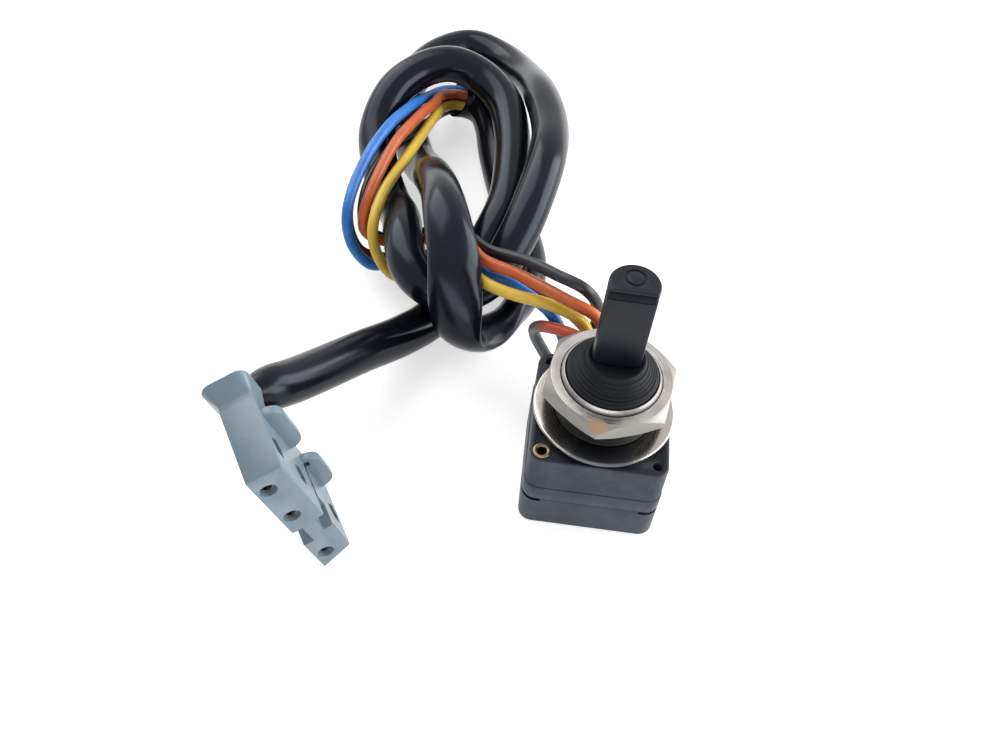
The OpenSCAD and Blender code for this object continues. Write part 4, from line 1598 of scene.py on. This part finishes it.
@dataclass
class Connector:
    """Flat three-pole connector with a flared cable hood, modelled upright and then laid in place.

    The slots, the window and the flare are in millimetres. Each ring of the flare is given by how deep it
    lies, how far the flare has opened (0 to 1) and how far inside the outer skin it lies. The flare's corner
    and its middle have a value at the neck, and a step that they have made where it is open.
    """

    plastic: Material
    thick: float = 7 * MM
    deep: float = 17 * MM
    tall: float = 38.2 * MM
    slant: float = 3.2 * MM
    edge: float = 0.35 * MM
    ear_reach: float = 3.2 * MM
    ear_deep: tuple[float, float] = (12.2 * MM, 14 * MM)
    ear_round: float = 2.8 * MM
    ear_edge: float = 0.15 * MM
    ear_heights: tuple[tuple[float, float], ...] = ((24 * MM, 37 * MM), (7.5 * MM, 18.5 * MM))
    slots: tuple[tuple[Point, Point], ...] = (
        ((5, -1, 13), (8, 5, 17.8)), ((5, -1, 16.4), (8, 14, 17.8)), ((-1, -1, 11), (2.2, 18, 17)))
    slot_edge: float = 0.12 * MM
    pole_x: float = 2.3 * MM
    poles: tuple[float, ...] = (33.2 * MM, 22.3 * MM, 5.1 * MM)
    pole: float = 1.65 * MM
    bore: float = 14 * MM
    bore_edge: float = 0.22 * MM
    window_x: tuple[float, float] = (4.6 * MM, 9 * MM)
    window: tuple[tuple[float, float], ...] = ((4.3, 0.2), (4.5, 3.0), (7.3, 4.0), (8.5, 0.9), (6.7, -0.4))
    neck: float = 6.9
    neck_deep: tuple[float, float] = (16.6 * MM, 17.2 * MM)
    neck_side: float = 0.05 * MM
    neck_round: float = 0.6 * MM
    flare_wide: tuple[float, float] = (9.1, 9.7)
    flare_corner: tuple[float, float] = (0.6, 1.5)
    least_corner: float = 0.4
    flare_x: tuple[float, float] = (3.5, -0.5)
    flare_z: tuple[float, float] = (-3.5, 0.55)
    flare: tuple[Point, ...] = (
        (17.5, 0, 0), (18.0, 0.05, 0), (18.5, 0.14, 0), (19.0, 0.28, 0), (19.5, 0.45, 0), (20.0, 0.62, 0),
        (20.5, 0.78, 0), (21.0, 0.93, 0), (21.4, 1.05, 0), (21.7, 1.13, 0), (21.85, 1.13, 0.08),
        (21.9, 1.12, 0.25), (21.8, 1.08, 0.4), (21.3, 0.98, 0.6), (20.5, 0.72, 0.75), (19.5, 0.4, 0.85),
        (18.4, 0.1, 0.95))
    place: Point = (-50.8 * MM, -31.2 * MM, 0.4 * MM)
    turn: Point = (-1.0, -20.0, 30.0)
    sleeve_end: Point = (-67 * MM, -10 * MM, 27 * MM)
    sleeve_from: Point = (-62 * MM, -3 * MM, 22.5 * MM)
    seat_radius: float = 2.7 * MM
    seat_length: float = 5.4 * MM
    seat_round: float = 0.8 * MM

    def lay(self, piece: Solid) -> Solid:
        """Moves a piece from the connector's own upright place to its place in the object.

        Args:
            piece: the piece to lay.

        Returns:
            The same object.
        """
        roll, tilt, yaw = (math.radians(angle) for angle in self.turn)
        turn = Matrix.Rotation(yaw, 4, "Z") @ Matrix.Rotation(tilt, 4, "Y") @ Matrix.Rotation(roll, 4, "X")
        piece.matrix_world = Matrix.Translation(self.place) @ turn
        return settle(piece)

    def ear(self, low: float, high: float) -> Solid:
        """Makes a lug with two round corners.

        Args:
            low: its lowest height.
            high: its highest height.

        Returns:
            The lug.
        """
        front, back = self.ear_deep
        piece = block("ear", (self.thick - MM, front, low), (self.thick + self.ear_reach, back, high))
        far = self.thick + self.ear_reach - 0.1 * MM
        shape(piece, Kind.EDGE, lambda edge: all(vert.co.x > far for vert in edge.verts)
              and abs(edge.verts[0].co.y - edge.verts[1].co.y) > MM, bevel(self.ear_round, 8))
        soften(piece, self.ear_edge, 2)
        return piece

    def build_body(self) -> Solid:
        """Models the body: slanted foot, ears, bores, keyway, notch and windows.

        Returns:
            The body.
        """
        piece = block("connector_shell", (0, 0, 0), (self.thick, self.deep, self.tall))
        shape(piece, Kind.VERT, lambda vert: vert.co.x > self.thick - MM and vert.co.z < MM,
              move(z=self.slant))
        soften(piece, self.edge, 3)
        for low, high in self.ear_heights:
            meet(piece, self.ear(low, high), Cut.ADD)
        for low, high in self.slots:
            tool = block("slot", [c * MM for c in low], [c * MM for c in high])
            soften(tool, self.slot_edge, 2)
            meet(piece, tool)
        for z in self.poles:
            meet(piece, rod("pole", self.pole, (self.pole_x, -MM, z), self.bore + MM, Axis.Y, 40))
            corners = [(y * MM, z + up * MM) for y, up in self.window]
            meet(piece, prism("window", corners, *self.window_x))
        mouths = on_mouth(1, 0.0, [(self.pole_x, z) for z in self.poles], self.pole + 0.1 * MM)
        shape(piece, Kind.EDGE, mouths, bevel(self.bore_edge, 2))
        smooth(piece, 30)
        return dress(self.lay(piece), self.plastic, Body.HOUSING, "connector_body")

    def fit_ring(self, piece: Solid, y: float, share: float, inward: float) -> None:
        """Moves the selected ring of the hood's mouth to its place in the flare.

        Args:
            piece: the hood in edit mode.
            y: how deep the ring lies.
            share: how far the flare has opened, from 0 to 1.
            inward: how far inside the outer skin it lies.
        """
        work = bmesh.from_edit_mesh(piece.data)
        ring = [vert for vert in work.verts if vert.select]
        low, high = ([limit(vert.co[axis] for vert in ring) for axis in (0, 2)] for limit in (min, max))
        middle = [(a + b) / 2 for a, b in zip(low, high)]
        spots = [(vert.co.x - middle[0], vert.co.z - middle[1]) for vert in ring]
        near, reach = ([limit(abs(spot[axis]) for spot in spots) for axis in (0, 1)] for limit in (min, max))
        half = [(self.neck + (wide - self.neck) * share) * MM / 2 - inward for wide in self.flare_wide]
        x_at, z_at, corner = ((start + step * share) * MM
                              for start, step in (self.flare_x, self.flare_z, self.flare_corner))
        corner = max(self.least_corner * MM, corner - inward)
        for vert, (x, z) in zip(ring, spots):
            turn = math.atan2((abs(z) - near[1]) / (reach[1] - near[1]),
                              (abs(x) - near[0]) / (reach[0] - near[0]))
            out = math.copysign(half[0] - corner * (1 - math.cos(turn)), x)
            up = math.copysign(half[1] - corner * (1 - math.sin(turn)), z)
            vert.co = (x_at + out, y, self.tall + z_at + up)
        bmesh.update_edit_mesh(piece.data)

    def seat(self) -> Solid:
        """Makes the boss that the end of the sleeve is pushed on.

        Returns:
            The boss.
        """
        end = Vector(self.sleeve_end)
        along = (end - Vector(self.sleeve_from)).normalized()
        piece = rod("seat", self.seat_radius, (0, 0, MM), self.seat_length)
        soften(piece, self.seat_round, 3)
        smooth(piece, 50)
        piece.matrix_world = Matrix.Translation(end) @ along.to_track_quat("Z", "Y").to_matrix().to_4x4()
        return settle(piece)

    def build_hood(self) -> Solid:
        """Draws the neck out into a bell mouth with a thin lip and a hollow, and seats the sleeve's end.

        Returns:
            The hood.
        """
        neck, side, (front, back) = self.neck * MM, self.neck_side, self.neck_deep
        low = self.tall - side - neck
        piece = block("connector_bell", (side, front, low), (side + neck, back, low + neck))
        shape(piece, Kind.EDGE, lambda edge: edge.calc_length() < 2 * (back - front),
              bevel(self.neck_round, 6))
        actions = []
        for y, share, inward in self.flare:
            actions += [extrude(), partial(self.fit_ring, piece, y * MM, share, inward * MM)]
        shape(piece, Kind.FACE, facing(y=1), *actions)
        smooth(piece, 50)
        seat = self.seat()
        join(self.lay(piece), seat)
        return dress(piece, self.plastic, Body.HOUSING, "connector_hood")

    def build(self) -> list[Solid]:
        """Builds the connector's pieces and returns them."""
        return [self.build_body(), self.build_hood()]


@dataclass(frozen=True)
class Kept:
    """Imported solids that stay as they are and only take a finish."""

    finishes: dict[str, Material]

    def build(self) -> list[Solid]:
        """Puts the finishes on the solids.

        Returns:
            The solids.
        """
        pieces = [bpy.data.objects[node] for node in self.finishes]
        for piece in pieces:
            for slot in piece.material_slots:
                slot.material = self.finishes[piece.name]
        return pieces


@dataclass(frozen=True)
class Lamp:
    """A soft rectangular lamp that looks at the middle of the object."""

    name: str
    place: Point
    size: tuple[float, float]
    watts: float
    target: Point = (-0.025, 0.03, 0.02)

    def build(self) -> None:
        """Hangs the lamp."""
        deselect_all()
        bpy.ops.object.light_add(type="AREA", location=self.place)
        lamp = fresh(self.name)
        lamp.data.shape = "RECTANGLE"
        lamp.data.size, lamp.data.size_y = self.size
        lamp.data.energy = self.watts
        lamp.rotation_euler = (Vector(self.target) - Vector(self.place)).to_track_quat("-Z", "Y").to_euler()


@dataclass
class Studio:
    """Camera at the photograph's place, a white floor, a white surround and soft lamps."""

    lens: float = 43.2
    place: Point = (-0.0227, -0.1470, 0.2126)
    azimuth: float = 0.5
    elevation: float = 51.28
    roll: float = 8.0
    surround: float = 0.38
    floor_size: float = 6.0
    floor_colour: Colour = (0.8, 0.8, 0.8)
    floor_glow: float = 0.58
    lamps: tuple[Lamp, ...] = (
        Lamp("lamp_left", (-0.40, 0.42, 0.50), (0.50, 0.80), 4.2),
        Lamp("lamp_right", (0.60, 0.14, 0.27), (0.90, 0.50), 8.4),
        Lamp("lamp_front", (-0.10, -0.68, 0.14), (0.60, 0.22), 1.35),
    )

    def build_camera(self) -> None:
        """Places the camera."""
        a, e, r = (math.radians(angle) for angle in (self.azimuth, self.elevation, self.roll))
        right = Vector((math.cos(a), -math.sin(a), 0))
        forward = Vector((math.cos(e) * math.sin(a), math.cos(e) * math.cos(a), -math.sin(e)))
        up = right.cross(forward)
        x_axis = math.cos(r) * right + math.sin(r) * up
        y_axis = math.cos(r) * up - math.sin(r) * right
        deselect_all()
        bpy.ops.object.camera_add()
        camera = fresh("camera")
        turn = Matrix((x_axis, y_axis, -forward)).transposed().to_4x4()
        camera.matrix_world = Matrix.Translation(self.place) @ turn
        camera.data.lens = self.lens
        camera.data.clip_start = 0.01
        bpy.context.scene.camera = camera

    def build_floor(self) -> None:
        """Lays the floor, which looks white to the camera and keeps the object's shadow."""
        deselect_all()
        bpy.ops.mesh.primitive_plane_add(size=self.floor_size)
        floor = fresh("floor")
        surface = Surface("floor_white")
        surface.feed(surface.shader, {"Base Color": self.floor_colour, "Roughness": 0.9,
                                      "Specular IOR Level": 0.1})
        strength = surface.maths("MULTIPLY", surface.seen(), self.floor_glow)
        glow = surface.add("ShaderNodeEmission", {"Strength": strength}).outputs[0]
        total = surface.add("ShaderNodeAddShader", {0: surface.shader.outputs[0], 1: glow}).outputs[0]
        surface.feed(surface.tree.nodes["Material Output"], {"Surface": total})
        floor.data.materials.append(surface.finish)

    def build_world(self) -> None:
        """Makes the surround white to the camera and to reflections, and soft grey as a light."""
        world = bpy.context.scene.world or bpy.data.worlds.new("surround")
        bpy.context.scene.world = world
        world.use_nodes = True
        sheet = Sheet(world.node_tree)
        strength = sheet.between(sheet.seen(), 0.0, 1.0, self.surround, 1.0)
        sheet.feed(world.node_tree.nodes["Background"], {"Color": (1, 1, 1), "Strength": strength})

    def build(self) -> None:
        """Sets the whole stage."""
        self.build_camera()
        self.build_world()
        self.build_floor()
        for lamp in self.lamps:
            lamp.build()
        bpy.context.scene.view_settings.view_transform = "Standard"


class Finishes:
    """All finishes of the object, each made once."""

    def __init__(self) -> None:
        """Builds the finishes."""
        # The edge values below paint highlights along the edges of the housing, lever and connector.
        self.housing = Moulded("housing_moulded", (0.034, 0.042, 0.055), (0.068, 0.081, 0.103), 0.42,
                               scuffed=0.3, specular=0.24, painted_edge_highlight=0.3,
                               # the housing's top is painted darker, as painted shade
                               deck=(0.0085, 0.0105, 0.0145)).make()
        self.lever = Moulded("lever_moulded", (0.006, 0.008, 0.013), (0.013, 0.016, 0.024), 0.28,
                             depth=0.003 * MM, scuffed=0.2, specular=0.24, painted_edge_highlight=0.22).make()
        self.boot = Moulded("boot_rubber", (0.0045, 0.006, 0.0085), (0.009, 0.011, 0.0145), 0.48,
                            depth=0.008 * MM, scuffed=0.05, specular=0.16).make()
        self.gland = Moulded("gland_rubber", (0.012, 0.014, 0.018), (0.03, 0.032, 0.036), 0.6).make()
        self.rotor = Moulded("rotor_moulded", (0.075, 0.077, 0.085), (0.12, 0.12, 0.13), 0.45).make()
        self.board = Moulded("board_laminate", (0.012, 0.075, 0.03), (0.03, 0.11, 0.05), 0.4,
                             fine=2600.0, scuffed=0.1).make()
        self.carbon = Moulded("carbon_track", (0.01, 0.01, 0.011), (0.03, 0.03, 0.032), 0.35).make()
        self.connector = Moulded("connector_moulded", (0.148, 0.207, 0.254), (0.195, 0.262, 0.315), 0.27,
                                 depth=0.008 * MM, scuffed=0.15, painted_edge_highlight=0.2).make()
        copper = (0.36, 0.235, 0.125)
        self.bushing = Plated("bushing_nickel", (0.36, 0.345, 0.33), (0.22, 0.21, 0.19), copper, 0.3,
                              # the thread under the nut and the wall below the rim are painted dark, as
                              # painted shade
                              shade=(33.5, 34.6), shade_colour=(0.032, 0.032, 0.034)).make()
        # the patch on the washer's front is a painted dark reflection of the nut and thread above it
        self.washer = Plated("washer_nickel", (0.47, 0.447, 0.41), (0.31, 0.29, 0.26), (0.10, 0.105, 0.115),
                             0.2, rings=9000.0, ring_depth=0.001 * MM,
                             patches=((0.0, -12.2, 23.9, 8.5),)).make()
        self.nut = Plated("nut_nickel", (0.50, 0.474, 0.458), (0.235, 0.222, 0.208), copper, 0.27,
                          # the nut's underside is painted dark, as painted shade
                          clouds=0.45, shade=(29.92, 30.15), milled_sides=True, rings=3200.0,
                          ring_depth=0.0026 * MM, patches=((-2.0, -12.6, 33.5, 2.2),), patch_strength=0.75,
                          ragged=1.3).make()
        self.brass = Plated("eyelet_brass", (0.30, 0.235, 0.14), (0.10, 0.08, 0.055), (0.3, 0.2, 0.1), 0.36,
                            clouds=0.8).make()
        self.steel = Plated("steel_bright", (0.42, 0.41, 0.40), (0.24, 0.22, 0.2), (0.3, 0.25, 0.2),
                            0.25).make()
        self.sleeve = Extruded("sleeve_gloss", (0.0035, 0.0045, 0.0075), (0.006, 0.0075, 0.012), 0.2,
                               depth=0.015 * MM, specular=0.22).make()
        self.wires = {
            "yellow": self.wire("yellow", (0.70, 0.47, 0.045), (0.78, 0.57, 0.10)),
            "blue": self.wire("blue", (0.016, 0.150, 0.52), (0.035, 0.22, 0.62)),
            "orange": self.wire("orange", (0.50, 0.095, 0.022), (0.58, 0.14, 0.04)),
            "black": self.wire("black", (0.010, 0.012, 0.016), (0.02, 0.023, 0.028)),
            "red": self.wire("red", (0.10, 0.012, 0.012), (0.17, 0.03, 0.026)),
            "link": self.wire("link", (0.50, 0.065, 0.022), (0.58, 0.11, 0.05), (-14.0, 24.0, 11.5, 11.0)),
        }

    @staticmethod
    def wire(name: str, colour: Colour, pale: Colour, patch: Patch | None = None) -> Material:
        """Makes the finish of one wire's insulation."""
        return Moulded(f"wire_{name}_pvc", colour, pale, 0.3, spread=0.12, fine=3000.0, broad=300.0,
                       scuffed=0.1, specular=0.4, patch=patch).make()

    def kept(self) -> Kept:
        """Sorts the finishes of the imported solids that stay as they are.

        Returns:
            The solids' class, ready to build.
        """
        steel = ("pivot_pin", "lever_stem", "rotor_shaft", "return_spring", "socket_contacts")
        return Kept({"sealing_ring": self.boot, "wire_gland": self.gland, "rotor": self.rotor,
                     "wiper": self.brass, "resistor_board": self.board, "resistor_track": self.carbon,
                     "terminals": self.bushing, **dict.fromkeys(steel, self.steel)})


def make_lead(finishes: Finishes, far_end: Sequence[Solid]) -> Lead:
    """Lays out the lead: each wire's length and end in the sleeve's mouth, and the sleeve.

    Args:
        finishes: the finishes of its cords.
        far_end: the connector's pieces.

    Returns:
        The lead, ready to build.
    """
    wires = []
    for colour, route, length, y, z in (
            ("yellow", YELLOW_ROUTE, 0.163, 107.35, 6.7), ("blue", BLUE_ROUTE, 0.169, 111.95, 7.8),
            ("orange", ORANGE_ROUTE, 0.174, 109.3, 8.65), ("black", BLACK_ROUTE, 0.178, 109.3, 4.2),
            ("red", RED_ROUTE, 0.17, 111.95, 5.0)):
        inside = ((-40.0, y, z), (-36.6, y - 0.75, z - 0.25))
        wires.append(Wire(colour, route, finishes.wires[colour], f"wire_{colour}", length, inside))
    wires.append(Wire("link", LINK_ROUTE, finishes.wires["link"], "wire_orange", 0.058))
    tucked_end = [c + step for c, step in zip(SLEEVE_ROUTE[-1], (-1.7, -2.45, 1.6))]
    sleeve = Sleeve((*SLEEVE_ROUTE, tucked_end), finishes.sleeve, Dent(78.0, 128.0, 0.42, 36.0),
                    [*far_end, bpy.data.objects["socket_contacts"]])
    return Lead(wires, sleeve)


def main() -> None:
    """Builds the stage and every sub-assembly in order, and reports each piece."""
    logging.basicConfig(level=logging.INFO, format="%(name)s: %(message)s", stream=sys.stdout)
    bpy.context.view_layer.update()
    Studio().build()
    finishes = Finishes()
    pieces = Connector(finishes.connector).build()
    for assembly in (
            make_lead(finishes, pieces), Housing(finishes.housing, finishes.brass),
            Bushing(finishes.bushing, finishes.washer, finishes.nut), Boot(finishes.boot),
            Lever(finishes.lever), finishes.kept()):
        pieces += assembly.build()
    for piece in pieces:
        log.info("%s: %s", piece.name, piece.active_material.name)


if __name__ == "__main__":
    main()
